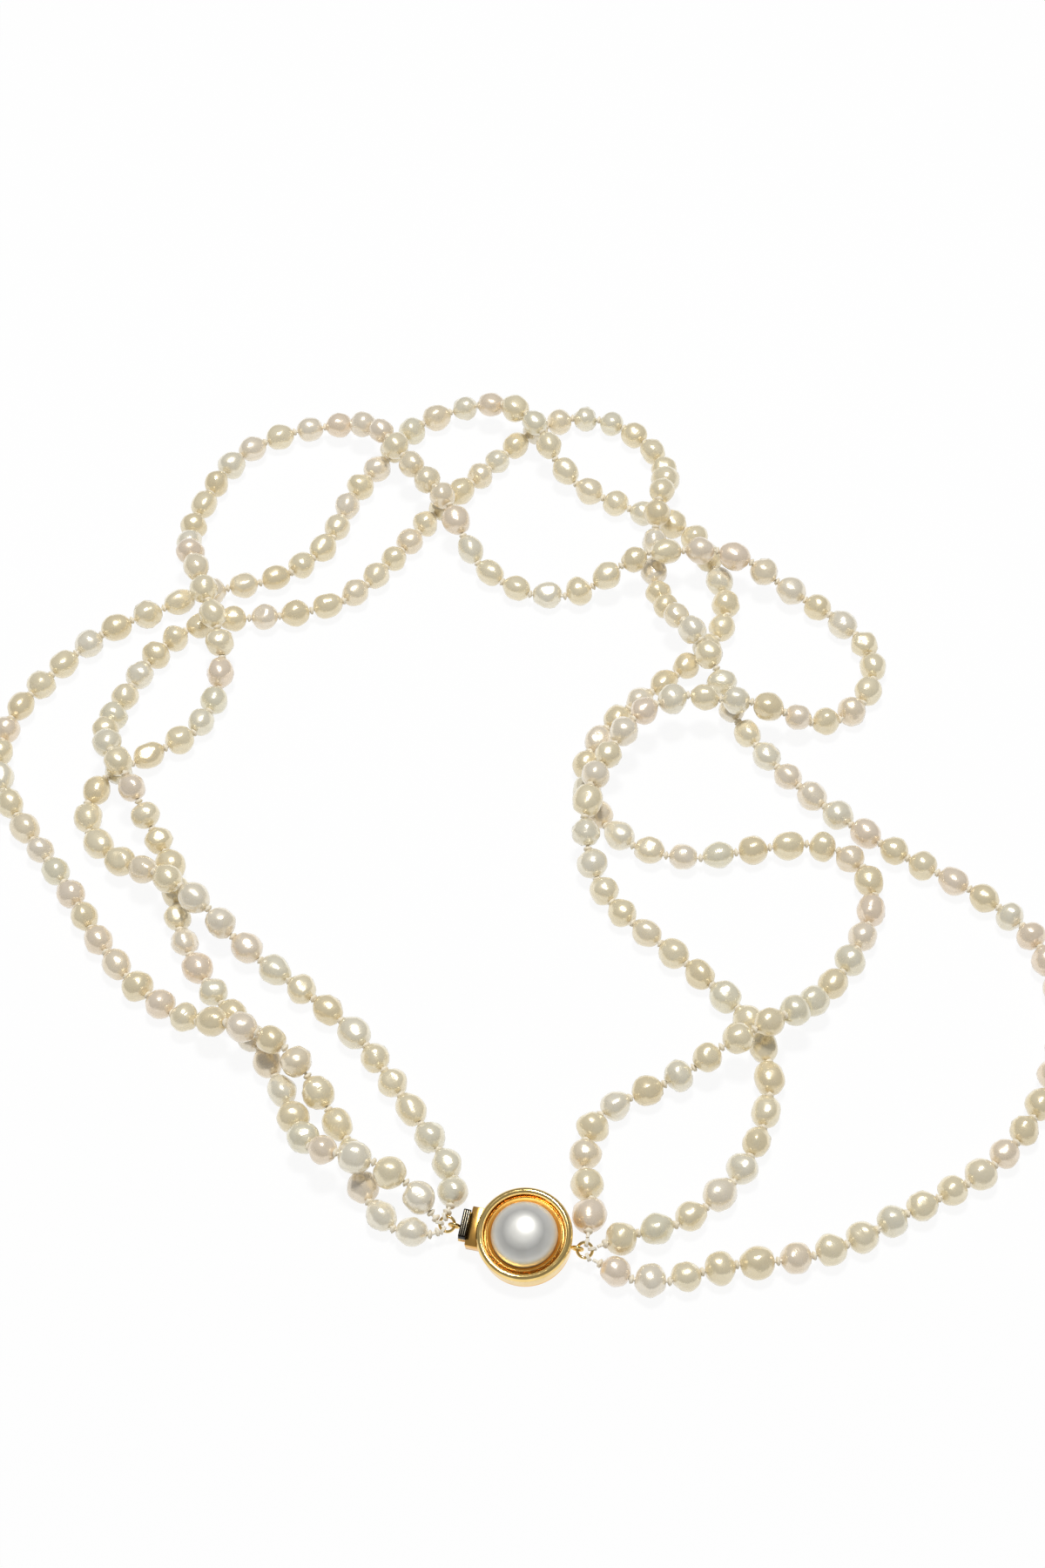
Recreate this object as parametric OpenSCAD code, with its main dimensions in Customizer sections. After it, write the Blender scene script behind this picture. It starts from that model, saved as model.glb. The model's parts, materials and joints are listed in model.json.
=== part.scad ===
// Three-strand necklace of small off-round pearls, lying on a table with its clasp closed.
// The clasp is a round box clasp: a domed half pearl on a box that takes a folded tongue.
// Millimetres, +Z up from the table, +X to the right and +Y away from the clasp's side.

/* [Pearls] */
// Thickness of a middling pearl
pearl_d = 4.7; // [3.8:0.1:5.6]
// How much stouter or slimmer than that a pearl can be
pearl_d_spread = 0.3; // [0:0.05:0.4]
// How much one pearl's share of the strand differs from the next, as a fraction
pearl_length_spread = 0.1; // [0:0.02:0.14]
// How much one end of a pearl is blunter than the other, as a fraction
pearl_egg = 0.1; // [0:0.02:0.2]
// Bore drilled through each pearl
drill_d = 0.8; // [0.7:0.05:1]
// Gap between two pearls, filled by a knot in the silk
knot_gap = 0.44; // [0.36:0.02:0.6]
// Pearls on the inner, the outer and the middle strand
pearl_counts = [93, 92, 93]; // [70:1:110]

/* [Silk] */
// Diameter of the silk
silk_d = 0.5; // [0.3:0.05:0.55]
// Clearance of a silk loop round the wire that it holds
loop_clear = 0.12; // [0.08:0.02:0.2]
// Bare silk from the ring's wire to the first pearl
lead_in = 2; // [1.6:0.1:3]

/* [Clasp box] */
// Width of the polished bead round the box
bead_w = 1.25; // [0.8:0.05:1.6]
// Height of the bead above the deck
bead_h = 1.3; // [0.8:0.1:2]
// How far the bead overhangs the box's side
bead_overhang = 0.3; // [0.1:0.05:0.5]
// Width of the groove between the bead and the bezel
groove_w = 0.2; // [0.1:0.05:0.4]
// Thickness of the box's side
wall_t = 0.6; // [0.4:0.05:0.9]
// Thickness of the back plate
back_t = 0.5; // [0.4:0.05:0.8]
// Thickness of the deck under the half pearl
deck_t = 0.4; // [0.3:0.05:0.8]
// Clear height inside the box
inner_h = 2.1; // [2:0.1:3]

/* [Half pearl] */
// Diameter of the half pearl where it sits in its bezel
mabe_d = 9.7; // [7:0.1:10.5]
// Height of the half pearl's dome
mabe_h = 3.3; // [2:0.1:4.5]
// Thickness of the nacre disc that closes the half pearl
mabe_back_t = 0.4; // [0.2:0.05:0.8]
// Height of the bezel that holds the half pearl
bezel_h = 0.95; // [0.6:0.05:1.4]
// Width of the bezel at its foot
bezel_w = 0.67; // [0.4:0.01:1]
// Clearance of the half pearl in its bezel
bezel_clear = 0.03; // [0.01:0.01:0.1]

/* [Tongue] */
// Width of the tongue
tongue_w = 4.2; // [3:0.1:5]
// Thickness of the tongue's lower leaf
tongue_t = 0.4; // [0.3:0.05:0.6]
// Thickness of the tongue's spring leaf
leaf_t = 0.3; // [0.2:0.05:0.4]
// Length of the tongue inside the mouth
tongue_len = 6; // [4.5:0.1:8]
// Slope of the spring leaf at rest, in degrees
leaf_rise = 5.5; // [4:0.25:6.5]
// Radius of the fold at the tongue's tip
fold_r = 0.35; // [0.25:0.05:0.45]
// Gap between the fold and the lower leaf, and over the tongue in the mouth
fold_clear = 0.1; // [0.06:0.01:0.15]
// Length of the ribbed thumb piece
thumb_len = 1.1; // [0.8:0.05:1.5]
// Height of the ribbed thumb piece
thumb_h = 1.5; // [1:0.1:2]
// Gap between the thumb piece and the mouth
thumb_clear = 0.15; // [0.1:0.05:0.4]
// Grooves across the thumb piece
thumb_grooves = 3; // [2:1:4]

/* [Mouth] */
// Length of the mouth's collar beyond the box's side
mouth_len = 1.6; // [1:0.1:2.5]
// Wall at the sides of the mouth's collar
mouth_wall = 0.65; // [0.4:0.05:1]
// Wall above and below the mouth
collar_t = 0.35; // [0.2:0.05:0.5]
// Side clearance of the tongue in the mouth
mouth_clear = 0.2; // [0.1:0.05:0.4]
// Clear height of the mouth
mouth_h = 1.6; // [1.5:0.05:1.8]

/* [Rings] */
// Wire of the eyes and jump rings
wire_d = 0.45; // [0.35:0.05:0.6]
// Radius of an eye, to the middle of its wire
eye_r = 0.75; // [0.65:0.05:1]
// Radius of a jump ring, to the middle of its wire
ring_r = 1.1; // [1:0.05:1.5]
// Lean of the jump rings about the clasp's length, in degrees
ring_lean = 20; // [0:5:40]

/* [Place] */
// Turn of the clasp on the table, in degrees
clasp_yaw = -13; // [-30:1:0]
// Tilt of the clasp's face towards its front edge, in degrees
clasp_tilt = 18; // [0:1:25]
// Place of the clasp on the table, across
clasp_x = 2.5; // [0:0.5:5]
// Place of the clasp on the table, away from the front
clasp_y = -87.5; // [-92:0.5:-84]
// Clearance between two strands where one crosses on top of the other
cross_clear = 0.2; // [0.15:0.05:0.6]

/* [Hidden] */
$fn = 40;

// The three strands, by number
INNER = 0;
OUTER = 1;
MIDDLE = 2;

// Route of each strand over the table, from the left ring to the right ring.
inner_route = [
  [-8, -77], [-15, -64], [-23, -51], [-33, -41], [-46, -30], [-52, -25], [-63, -16],
  [-68, -10], [-69, -3], [-66, 3], [-59, 8], [-52, 14], [-49, 28], [-53, 42], [-57, 57], [-55, 69],
  [-49, 82], [-37, 89], [-27, 87], [-20, 77], [-12, 65], [-5, 52], [5, 45], [16, 47],
  [25, 51], [36, 51], [50, 45], [61, 33], [61, 23], [56, 16], [48, 14], [38, 15], [27, 16],
  [19, 9], [12, -8], [16, -24], [28, -37], [38, -50], [39, -63], [34, -76], [26, -84], [18, -87]
];
outer_route = [
  [-15, -87], [-21, -80], [-24, -70], [-31, -59], [-38, -54], [-51, -47], [-62, -36],
  [-70, -22], [-79, -8], [-84, 2], [-84, 15], [-78, 26], [-70, 36], [-62, 41], [-53, 46],
  [-40, 50], [-32, 59], [-29, 70], [-23, 80], [-18, 89], [-8, 94], [3, 87], [9, 76],
  [20, 68], [31, 62], [36, 51], [37, 38], [29, 27], [17, 15], [12, 3], [17, -10],
  [28, -15], [40, -13], [49, -12], [55, -15], [58, -21], [56, -30], [50, -41], [41, -51], [27, -58],
  [14, -65], [11, -73], [12, -81]
];
middle_route = [
  [-15, -80], [-21, -77], [-29, -74], [-33, -64], [-38, -53], [-46, -42], [-52, -30],
  [-54, -17], [-61, -4], [-67, 8], [-66, 18], [-60, 32], [-52, 39], [-41, 40], [-29, 44],
  [-21, 54], [-13, 67], [-4, 78], [3, 87], [12, 92], [22, 88], [28, 77], [26, 63],
  [25, 50], [28, 37], [34, 26], [39, 13], [47, 1], [60, -12], [75, -23], [83, -33],
  [85, -48], [80, -63], [71, -75], [58, -83], [45, -90], [31, -92], [20, -95]
];

// Where each strand passes on top of another: place, and the length of the ramp either side.
inner_over = [
  [-52, -25, 13], [-52, 39, 13], [-54, 46, 13], [-22, 80, 14], [-13, 67, 14],
  [25, 51, 13], [36, 51, 13], [38, 15, 13], [29, 15, 13], [20, 10, 13], [13, -4, 13]
];
outer_over = [[-38, -54, 13], [3, 86, 15], [38, -52, 13]];
middle_over = [[-22, -77, 14], [-64, 2, 13], [26, 65, 10], [31, 31, 13]];

// Clearance between the stoutest pearl and the table
table_clear = 0.05;
// Thickness of the stoutest pearl, and the height of the strands' axis on the table
pearl_d_max = pearl_d + pearl_d_spread;
lay_z = pearl_d_max / 2 + table_clear;
// Rise of a strand where it crosses on top of another
cross_lift = pearl_d_max + cross_clear;
// Length of strand that stays at full height in the middle of a crossing
cross_flat = 2.5;
// Reach of the slope from the table up to a jump ring
end_reach = 14;
// Steps between two points of a route
smooth_steps = 6;
// Sides of the silk
silk_sides = 8;
// Silk left off at a stretch's end where the next stretch belongs to another body
silk_trim = 0.1;
// Steps along a pearl's outline
outline_steps = 10;
// Power of a pearl's outline: 2 is an ellipsoid, and more is blunter
outline_power = 2.1;
// Seeds of the pearls' lengths, thicknesses and egg shapes, strand by strand
length_seeds = [11, 22, 33];
girth_seeds = [44, 50, 46];
egg_seeds = [55, 56, 57];
// Clearance between soldered pieces whose faces are curved
seat_clear = 0.02;

// Lip of the bezel: how far it stands above the half pearl's edge, and the width of its top
lip_h = 0.1;
lip_w = 0.15;
// Share of the bead's height that stands straight, and steps round its top
bead_foot = 0.35;
bead_steps = 10;
// Steps up the half pearl's dome
dome_steps = 12;
// Depth of the thumb piece's grooves
groove_depth = 0.2;
// Overshoot of a cut
over = 1;

// Diameter over the bead
clasp_d = mabe_d + 2 * (bezel_clear + bezel_w + groove_w + bead_w);
// Heights in the clasp, from its back
deck_z = back_t + inner_h;
deck_top = deck_z + deck_t;
wall_r = clasp_d / 2 - bead_overhang;
mouth_floor = back_t + (inner_h - mouth_h) / 2;
mouth_w = tongue_w + 2 * mouth_clear;
mouth_face = wall_r + mouth_len;
tongue_z = mouth_floor + fold_clear;
// The fold's axis, along the clasp's length and above its back
fold_u = tongue_len - mouth_face;
fold_z = tongue_z + fold_r;
thumb_end = mouth_face + thumb_clear + thumb_len;
wire_r = wire_d / 2;
silk_r = silk_d / 2;
ring_eye_u = wall_r + seat_clear + eye_r + wire_r;
right_ring_u = ring_eye_u + ring_r;
eye_z = back_t + inner_h / 2;
tongue_eye_u = -(thumb_end + seat_clear + eye_r + wire_r);
left_ring_u = tongue_eye_u - ring_r;
tongue_eye_z = tongue_z + tongue_t / 2;
silk_loop_r = wire_r + loop_clear + silk_r;
// Angles round the jump rings at which the inner, outer and middle strands are tied
right_ties = [20, 85, -55];
left_ties = [115, -115, 180];

// The clasp's own frame: u along the tongue, v across it, w out of the face.
clasp_pos = [clasp_x, clasp_y, wall_r * sin(clasp_tilt)];
function turn_z(p, a) = [p.x * cos(a) - p.y * sin(a), p.x * sin(a) + p.y * cos(a), p.z];
function tip_x(p, a) = [p.x, p.y * cos(a) - p.z * sin(a), p.y * sin(a) + p.z * cos(a)];
function clasp_dir(p) = turn_z(tip_x(p, clasp_tilt), clasp_yaw);
function clasp_point(p) = clasp_pos + clasp_dir(p);
// A point on a jump ring's wire, in the clasp's frame
function tie(u, w, a) = [u, 0, w] + tip_x([ring_r * cos(a), ring_r * sin(a), 0], ring_lean);
function right_tie(strand) = clasp_point(tie(right_ring_u, eye_z, right_ties[strand]));
function left_tie(strand) = clasp_point(tie(left_ring_u, tongue_eye_z, left_ties[strand]));

// Height of a strand at a place, from the crossings where it is on top
function ramp(d, reach) =
  d <= cross_flat ? 1 : d >= reach + cross_flat ? 0 : (1 + cos(180 * (d - cross_flat) / reach)) / 2;
function rise(p, tops) = cross_lift * max([for (c = tops) ramp(norm([p.x - c.x, p.y - c.y]), c.z)]);

// Smooth curve through a list of points
function bend(a, b, c, d, t) =
  (2 * b + (c - a) * t + (2 * a - 5 * b + 4 * c - d) * t * t + (3 * b - a - 3 * c + d) * t * t * t) / 2;
function curve(p) = [
  for (i = [0:len(p) - 2]) for (k = [0:smooth_steps - 1])
    bend(p[max(i - 1, 0)], p[i], p[i + 1], p[min(i + 2, len(p) - 1)], k / smooth_steps),
  p[len(p) - 1]
];
// The strand in space: the route lies on the table, rises at crossings and ends at the rings.
function flat(p) = [p.x, p.y];
function end_blend(d) = d >= end_reach ? 0 : (1 + cos(180 * d / end_reach)) / 2;
function height(p, tops, a, b) =
  lay_z + max(
    rise(p, tops),
    (a.z - lay_z) * end_blend(norm(flat(p) - flat(a))),
    (b.z - lay_z) * end_blend(norm(flat(p) - flat(b)))
  );
function in_space(route, tops, a, b) = [
  for (p = curve(concat([flat(a)], route, [flat(b)]))) [p.x, p.y, height(p, tops, a, b)]
];
function step_length(p, i) = norm(p[min(i + 1, len(p) - 1)] - p[i]);
function lengths(p) = [for (i = 0, s = 0; i < len(p); s = s + step_length(p, i), i = i + 1) s];
// Running totals of a list, from zero
function totals(v) = [for (i = 0, s = 0; i <= len(v); s = s + (i < len(v) ? v[i] : 0), i = i + 1) s];

function along(p, s, at) =
  [for (axis = [0:2]) lookup(at, [for (i = [0:len(p) - 1]) [s[i], p[i][axis]]])];

// The knots of a strand: the places between two pearls, with one at each end.
function knots(p, count, seed) =
  let (
    s = lengths(p),
    shares = totals([for (r = rands(-1, 1, count, seed)) 1 + pearl_length_spread * r]),
    span = s[len(s) - 1] - 2 * lead_in
  )
  [for (q = shares) along(p, s, lead_in + span * q / shares[count])];

function strand_line(strand, route, tops) =
  in_space(route, tops, left_tie(strand), right_tie(strand));
strand_knots = [
  knots(strand_line(INNER, inner_route, inner_over), pearl_counts[INNER], length_seeds[INNER]),
  knots(strand_line(OUTER, outer_route, outer_over), pearl_counts[OUTER], length_seeds[OUTER]),
  knots(strand_line(MIDDLE, middle_route, middle_over), pearl_counts[MIDDLE], length_seeds[MIDDLE])
];
thicknesses = [
  for (i = [0:2]) rands(pearl_d_max - 2 * pearl_d_spread, pearl_d_max, pearl_counts[i], girth_seeds[i])
];
eggs = [for (i = [0:2]) rands(-pearl_egg, pearl_egg, pearl_counts[i], egg_seeds[i])];

// Knots between which a stretch of strand moves as one
inner_back_loop = [30, 39];
inner_right_loop = [57, 64];
outer_left_loop = [12, 29];
middle_back_loop = [44, 49];
middle_right_loop = [62, 74];
inner_elbow = [84, 89];
outer_elbow = [87, 90];
middle_elbow = [76, 86];

module at_clasp() {
  translate(clasp_pos) rotate([0, 0, clasp_yaw]) rotate([clasp_tilt, 0, 0]) children();
}

// One drilled pearl, its bore along Z, centred on the origin
module pearl(length, thickness, egg) {
  bore_r = drill_d / 2;
  rotate_extrude()
    polygon([
      for (k = [0:outline_steps])
        let (
          a = 180 * k / outline_steps,
          swell = (thickness / 2 - bore_r) * pow(sin(a), 2 / outline_power) * (1 + egg * cos(a))
        )
        [bore_r + swell, sign(cos(a)) * length / 2 * pow(abs(cos(a)), 2 / outline_power)]
    ]);
}

// Turns and moves a piece made along Z from point a to point b
module from_to(a, b) {
  d = b - a;
  translate((a + b) / 2) rotate([0, acos(d.z / norm(d)), atan2(d.y, d.x)]) children();
}

module pearls(strand, first, last) {
  p = strand_knots[strand];
  color("ivory")
    for (i = [first:last - 1])
      from_to(p[i], p[i + 1])
        pearl(norm(p[i + 1] - p[i]) - knot_gap, thicknesses[strand][i], eggs[strand][i]);
}

// Silk tube through a list of points
function unit(v) = v / norm(v);
function heading(p, i) = unit(p[min(i + 1, len(p) - 1)] - p[max(i - 1, 0)]);
function ring_of(p, i) =
  let (t = heading(p, i), side = unit(cross(t, [0, 0, 1])), up = cross(side, t))
  [for (a = [0:360 / silk_sides:359]) p[i] + silk_r * (cos(a) * side + sin(a) * up)];

module silk_tube(p) {
  n = silk_sides;
  last = len(p) - 1;
  polyhedron(
    points = [for (i = [0:last]) each ring_of(p, i)],
    faces = [
      [for (k = [n - 1:-1:0]) k],
      [for (k = [0:n - 1]) last * n + k],
      for (i = [0:last - 1]) for (k = [0:n - 1]) each [
        [i * n + k, (i + 1) * n + (k + 1) % n, (i + 1) * n + k],
        [i * n + k, i * n + (k + 1) % n, (i + 1) * n + (k + 1) % n]
      ]
    ]
  );
}

// Point at a given distance from a towards b
function towards(a, b, distance) = a + distance * unit(b - a);

// Silk between two knots, trimmed at both ends
module silk(strand, first, last) {
  k = strand_knots[strand];
  p = [
    towards(k[first], k[first + 1], silk_trim),
    for (i = [first + 1:last - 1]) k[i],
    towards(k[last], k[last - 1], silk_trim)
  ];
  color("cornsilk") silk_tube(p);
}

// Silk that starts at a knot and ends in a loop tied round a jump ring
module tied_silk(strand, last_knot, free_knot, tie_point) {
  k = strand_knots[strand];
  step = last_knot > free_knot ? -1 : 1;
  p = [
    towards(tie_point, k[last_knot], silk_loop_r + silk_r + seat_clear),
    for (i = [last_knot:step:free_knot - step]) k[i],
    towards(k[free_knot], k[free_knot - step], silk_trim)
  ];
  color("cornsilk") silk_tube(step > 0 ? p : [for (i = [len(p) - 1:-1:0]) p[i]]);
}

// Loop of silk round a jump ring's wire
module silk_loop(u, w, angle) {
  color("cornsilk")
    at_clasp()
      translate([u, 0, w]) rotate([ring_lean, 0, 0]) rotate([0, 0, angle]) translate([ring_r, 0, 0])
        rotate([90, 0, 0]) rotate_extrude() translate([silk_loop_r, 0]) circle(r = silk_r);
}

module wire_ring(radius) {
  rotate_extrude() translate([radius, 0]) circle(r = wire_r);
}

// Closed jump ring, free to turn through its eye and its silk loops
module jump_ring(u, w) {
  color("goldenrod") at_clasp() translate([u, 0, w]) rotate([ring_lean, 0, 0]) wire_ring(ring_r);
}
module right_jump_ring() { jump_ring(right_ring_u, eye_z); }
module left_jump_ring() { jump_ring(left_ring_u, tongue_eye_z); }

module ring_eye() {
  color("gold") at_clasp() translate([ring_eye_u, 0, eye_z]) rotate([90, 0, 0]) wire_ring(eye_r);
}
module tongue_eye() {
  color("gold") at_clasp() translate([tongue_eye_u, 0, tongue_eye_z]) rotate([90, 0, 0]) wire_ring(eye_r);
}

// The space that the tongue passes through, from outside the collar to the box's middle
module mouth_space() {
  translate([-mouth_face - over, -mouth_w / 2, mouth_floor]) cube([mouth_face + over, mouth_w, mouth_h]);
}

module clasp_back_plate() { color("goldenrod") at_clasp() cylinder(r = wall_r, h = back_t); }
module clasp_side_wall() {
  color("gold")
    at_clasp()
      difference() {
        translate([0, 0, back_t]) cylinder(r = wall_r, h = inner_h);
        translate([0, 0, back_t - over]) cylinder(r = wall_r - wall_t, h = inner_h + 2 * over);
        mouth_space();
      }
}
module clasp_deck() {
  color("goldenrod") at_clasp() translate([0, 0, deck_z]) cylinder(r = wall_r, h = deck_t);
}

// Rounded bead round the deck's edge
module clasp_bead() {
  color("gold")
    at_clasp()
      translate([0, 0, deck_top])
        rotate_extrude()
          translate([clasp_d / 2 - bead_w / 2, 0])
            polygon([
              [bead_w / 2 - bead_overhang, 0],
              for (a = [0:180 / bead_steps:180])
                [bead_w / 2 * cos(a), bead_h * (bead_foot + (1 - bead_foot) * sin(a))],
              [-bead_w / 2, 0]
            ]);
}

// Polished funnel that holds the half pearl by its edge
module clasp_bezel() {
  seat = mabe_d / 2 + bezel_clear;
  rim = seat + bezel_w;
  color("orange")
    at_clasp()
      translate([0, 0, deck_top])
        rotate_extrude()
          polygon([
            [seat, 0],
            [seat, mabe_back_t + lip_h],
            [rim - lip_w, bezel_h],
            [rim, bezel_h - lip_h],
            [rim, 0]
          ]);
}
module mabe_backing() {
  color("linen") at_clasp() translate([0, 0, deck_top]) cylinder(d = mabe_d, h = mabe_back_t);
}
module mabe_dome() {
  color("white")
    at_clasp()
      translate([0, 0, deck_top + mabe_back_t])
        rotate_extrude()
          polygon([
            [0, 0],
            for (k = [0:dome_steps])
              let (a = 90 * k / dome_steps)
              [k == dome_steps ? 0 : mabe_d / 2 * cos(a), mabe_h * sin(a)]
          ]);
}

// Rectangular mouth in front of the box's slot
module mouth_collar() {
  color("darkorange")
    at_clasp()
      difference() {
        translate([-mouth_face, -mouth_w / 2 - mouth_wall, mouth_floor - collar_t])
          cube([mouth_face, mouth_w + 2 * mouth_wall, mouth_h + 2 * collar_t]);
        translate([0, 0, -over]) cylinder(r = wall_r + seat_clear, h = deck_top + 2 * over);
        mouth_space();
      }
}

module tongue_lower_leaf() {
  tip = fold_u - fold_r - fold_clear;
  color("goldenrod")
    at_clasp()
      translate([-thumb_end, -tongue_w / 2, tongue_z]) cube([thumb_end + tip, tongue_w, tongue_t]);
}
module at_leaf() { translate([fold_u, 0, fold_z]) rotate([0, leaf_rise, 0]) children(); }

// Spring leaf: the fold's barrel and the flat that rises from it
module tongue_spring_leaf() {
  reach = thumb_end + fold_u;
  color("goldenrod")
    at_clasp()
      at_leaf() {
        rotate([90, 0, 0]) cylinder(r = fold_r, h = tongue_w, center = true);
        translate([-reach, -tongue_w / 2, fold_r - leaf_t]) cube([reach, tongue_w, leaf_t]);
      }
}

// Thumb piece on the leaf's outer end, with grooves across its top
module thumb_piece() {
  reach = thumb_end + fold_u;
  pitch = thumb_len / (thumb_grooves + 0.5);
  color("dimgray")
    at_clasp()
      at_leaf()
        translate([-reach, 0, fold_r])
          difference() {
            translate([0, -tongue_w / 2, 0]) cube([thumb_len, tongue_w, thumb_h]);
            for (k = [0:thumb_grooves - 1])
              translate([(k + 0.6) * pitch, -tongue_w, thumb_h - groove_depth])
                cube([pitch / 3, 2 * tongue_w, groove_depth + over]);
          }
}

module loop_pearls(strand, part) { pearls(strand, part[0], part[1]); }
module loop_silk(strand, part) { silk(strand, part[0], part[1]); }
module end_pearls(strand, elbow) { pearls(strand, elbow[1], pearl_counts[strand]); }
module end_silk(strand, elbow) {
  tied_silk(strand, pearl_counts[strand], elbow[1], right_tie(strand));
  silk_loop(right_ring_u, eye_z, right_ties[strand]);
}
// Silk from the left ring to the first moving stretch
module left_end_silk(strand, last) {
  tied_silk(strand, 0, last, left_tie(strand));
  silk_loop(left_ring_u, tongue_eye_z, left_ties[strand]);
}

module inner_pearls() {
  pearls(INNER, 0, inner_back_loop[0]);
  pearls(INNER, inner_back_loop[1], inner_right_loop[0]);
  pearls(INNER, inner_right_loop[1], inner_elbow[0]);
}
module inner_silk() {
  left_end_silk(INNER, inner_back_loop[0]);
  silk(INNER, inner_back_loop[1], inner_right_loop[0]);
  silk(INNER, inner_right_loop[1], inner_elbow[0]);
}
module outer_pearls() {
  pearls(OUTER, 0, outer_left_loop[0]);
  pearls(OUTER, outer_left_loop[1], outer_elbow[0]);
}
module outer_silk() {
  left_end_silk(OUTER, outer_left_loop[0]);
  silk(OUTER, outer_left_loop[1], outer_elbow[0]);
}
module middle_pearls() {
  pearls(MIDDLE, 0, middle_back_loop[0]);
  pearls(MIDDLE, middle_back_loop[1], middle_right_loop[0]);
  pearls(MIDDLE, middle_right_loop[1], middle_elbow[0]);
}
module middle_silk() {
  left_end_silk(MIDDLE, middle_back_loop[0]);
  silk(MIDDLE, middle_back_loop[1], middle_right_loop[0]);
  silk(MIDDLE, middle_right_loop[1], middle_elbow[0]);
}
module inner_back_loop_pearls() { loop_pearls(INNER, inner_back_loop); }
module inner_back_loop_silk() { loop_silk(INNER, inner_back_loop); }
module inner_right_loop_pearls() { loop_pearls(INNER, inner_right_loop); }
module inner_right_loop_silk() { loop_silk(INNER, inner_right_loop); }
module outer_left_loop_pearls() { loop_pearls(OUTER, outer_left_loop); }
module outer_left_loop_silk() { loop_silk(OUTER, outer_left_loop); }
module middle_back_loop_pearls() { loop_pearls(MIDDLE, middle_back_loop); }
module middle_back_loop_silk() { loop_silk(MIDDLE, middle_back_loop); }
module middle_right_loop_pearls() { loop_pearls(MIDDLE, middle_right_loop); }
module middle_right_loop_silk() { loop_silk(MIDDLE, middle_right_loop); }
module inner_elbow_pearls() { loop_pearls(INNER, inner_elbow); }
module inner_elbow_silk() { loop_silk(INNER, inner_elbow); }
module outer_elbow_pearls() { loop_pearls(OUTER, outer_elbow); }
module outer_elbow_silk() { loop_silk(OUTER, outer_elbow); }
module middle_elbow_pearls() { loop_pearls(MIDDLE, middle_elbow); }
module middle_elbow_silk() { loop_silk(MIDDLE, middle_elbow); }
module inner_end_pearls() { end_pearls(INNER, inner_elbow); }
module inner_end_silk() { end_silk(INNER, inner_elbow); }
module outer_end_pearls() { end_pearls(OUTER, outer_elbow); }
module outer_end_silk() { end_silk(OUTER, outer_elbow); }
module middle_end_pearls() { end_pearls(MIDDLE, middle_elbow); }
module middle_end_silk() { end_silk(MIDDLE, middle_elbow); }

clasp_back_plate();
clasp_side_wall();
clasp_deck();
clasp_bead();
clasp_bezel();
mabe_dome();
mabe_backing();
mouth_collar();
ring_eye();
right_jump_ring();
tongue_lower_leaf();
tongue_spring_leaf();
thumb_piece();
tongue_eye();
left_jump_ring();
inner_pearls();
inner_silk();
outer_pearls();
outer_silk();
middle_pearls();
middle_silk();
inner_back_loop_pearls();
inner_back_loop_silk();
inner_right_loop_pearls();
inner_right_loop_silk();
outer_left_loop_pearls();
outer_left_loop_silk();
middle_back_loop_pearls();
middle_back_loop_silk();
middle_right_loop_pearls();
middle_right_loop_silk();
inner_end_pearls();
inner_end_silk();
inner_elbow_pearls();
inner_elbow_silk();
outer_end_pearls();
outer_end_silk();
outer_elbow_pearls();
outer_elbow_silk();
middle_end_pearls();
middle_end_silk();
middle_elbow_pearls();
middle_elbow_silk();
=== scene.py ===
"""Looks of a three-strand pearl necklace with a half-pearl box clasp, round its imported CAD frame.

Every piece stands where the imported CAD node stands: the silk's knots and each pearl's size, place
and drill line are measured on the nodes themselves. All lengths are metres.
"""

import json
import logging
import math
from collections.abc import Callable, Sequence
from dataclasses import dataclass, field
from enum import Enum

import bmesh
import bpy
import numpy as np
from bmesh.types import BMesh
from bpy.types import Material, Node, NodeSocket, NodeTree, Object
from mathutils import Matrix, Quaternion, Vector


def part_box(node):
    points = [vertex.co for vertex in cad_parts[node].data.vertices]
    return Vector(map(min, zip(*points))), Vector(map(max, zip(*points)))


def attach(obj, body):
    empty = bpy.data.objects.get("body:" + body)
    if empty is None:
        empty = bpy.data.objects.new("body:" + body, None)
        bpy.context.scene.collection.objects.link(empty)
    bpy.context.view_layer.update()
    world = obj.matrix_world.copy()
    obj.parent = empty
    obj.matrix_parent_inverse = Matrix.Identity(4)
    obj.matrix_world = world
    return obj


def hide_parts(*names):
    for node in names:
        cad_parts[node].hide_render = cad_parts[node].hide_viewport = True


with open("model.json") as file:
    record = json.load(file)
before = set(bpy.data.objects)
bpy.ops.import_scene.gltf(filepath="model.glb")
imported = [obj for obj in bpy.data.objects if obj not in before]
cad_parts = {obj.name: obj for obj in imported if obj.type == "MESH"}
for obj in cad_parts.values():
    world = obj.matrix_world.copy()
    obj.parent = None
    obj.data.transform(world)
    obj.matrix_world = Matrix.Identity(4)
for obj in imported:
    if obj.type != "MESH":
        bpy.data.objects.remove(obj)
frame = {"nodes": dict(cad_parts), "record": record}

log = logging.getLogger("necklace")

MM = 0.001
STRANDS = ("inner", "outer", "middle")
MERGE_DISTANCE = 1e-6
FULL_TURN = 2 * math.pi


class Slot(Enum):
    """The record's material slots."""

    PEARL = "pearl"
    SILK = "silk"
    HALF_PEARL = "half_pearl"
    SATIN_GOLD = "satin_gold"
    POLISHED_GOLD = "polished_gold"
    DARK_METAL = "dark_thumb_piece"


def adopt(piece: Object, body: str, node: str) -> None:
    """Lets a piece ride on its body and stand for its CAD node."""
    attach(piece, body)
    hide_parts(node)
    log.info("%s: %d faces, on %s, stands for %s", piece.name, len(piece.data.polygons), body, node)


# ---------------------------------------------------------------- node trees


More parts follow.
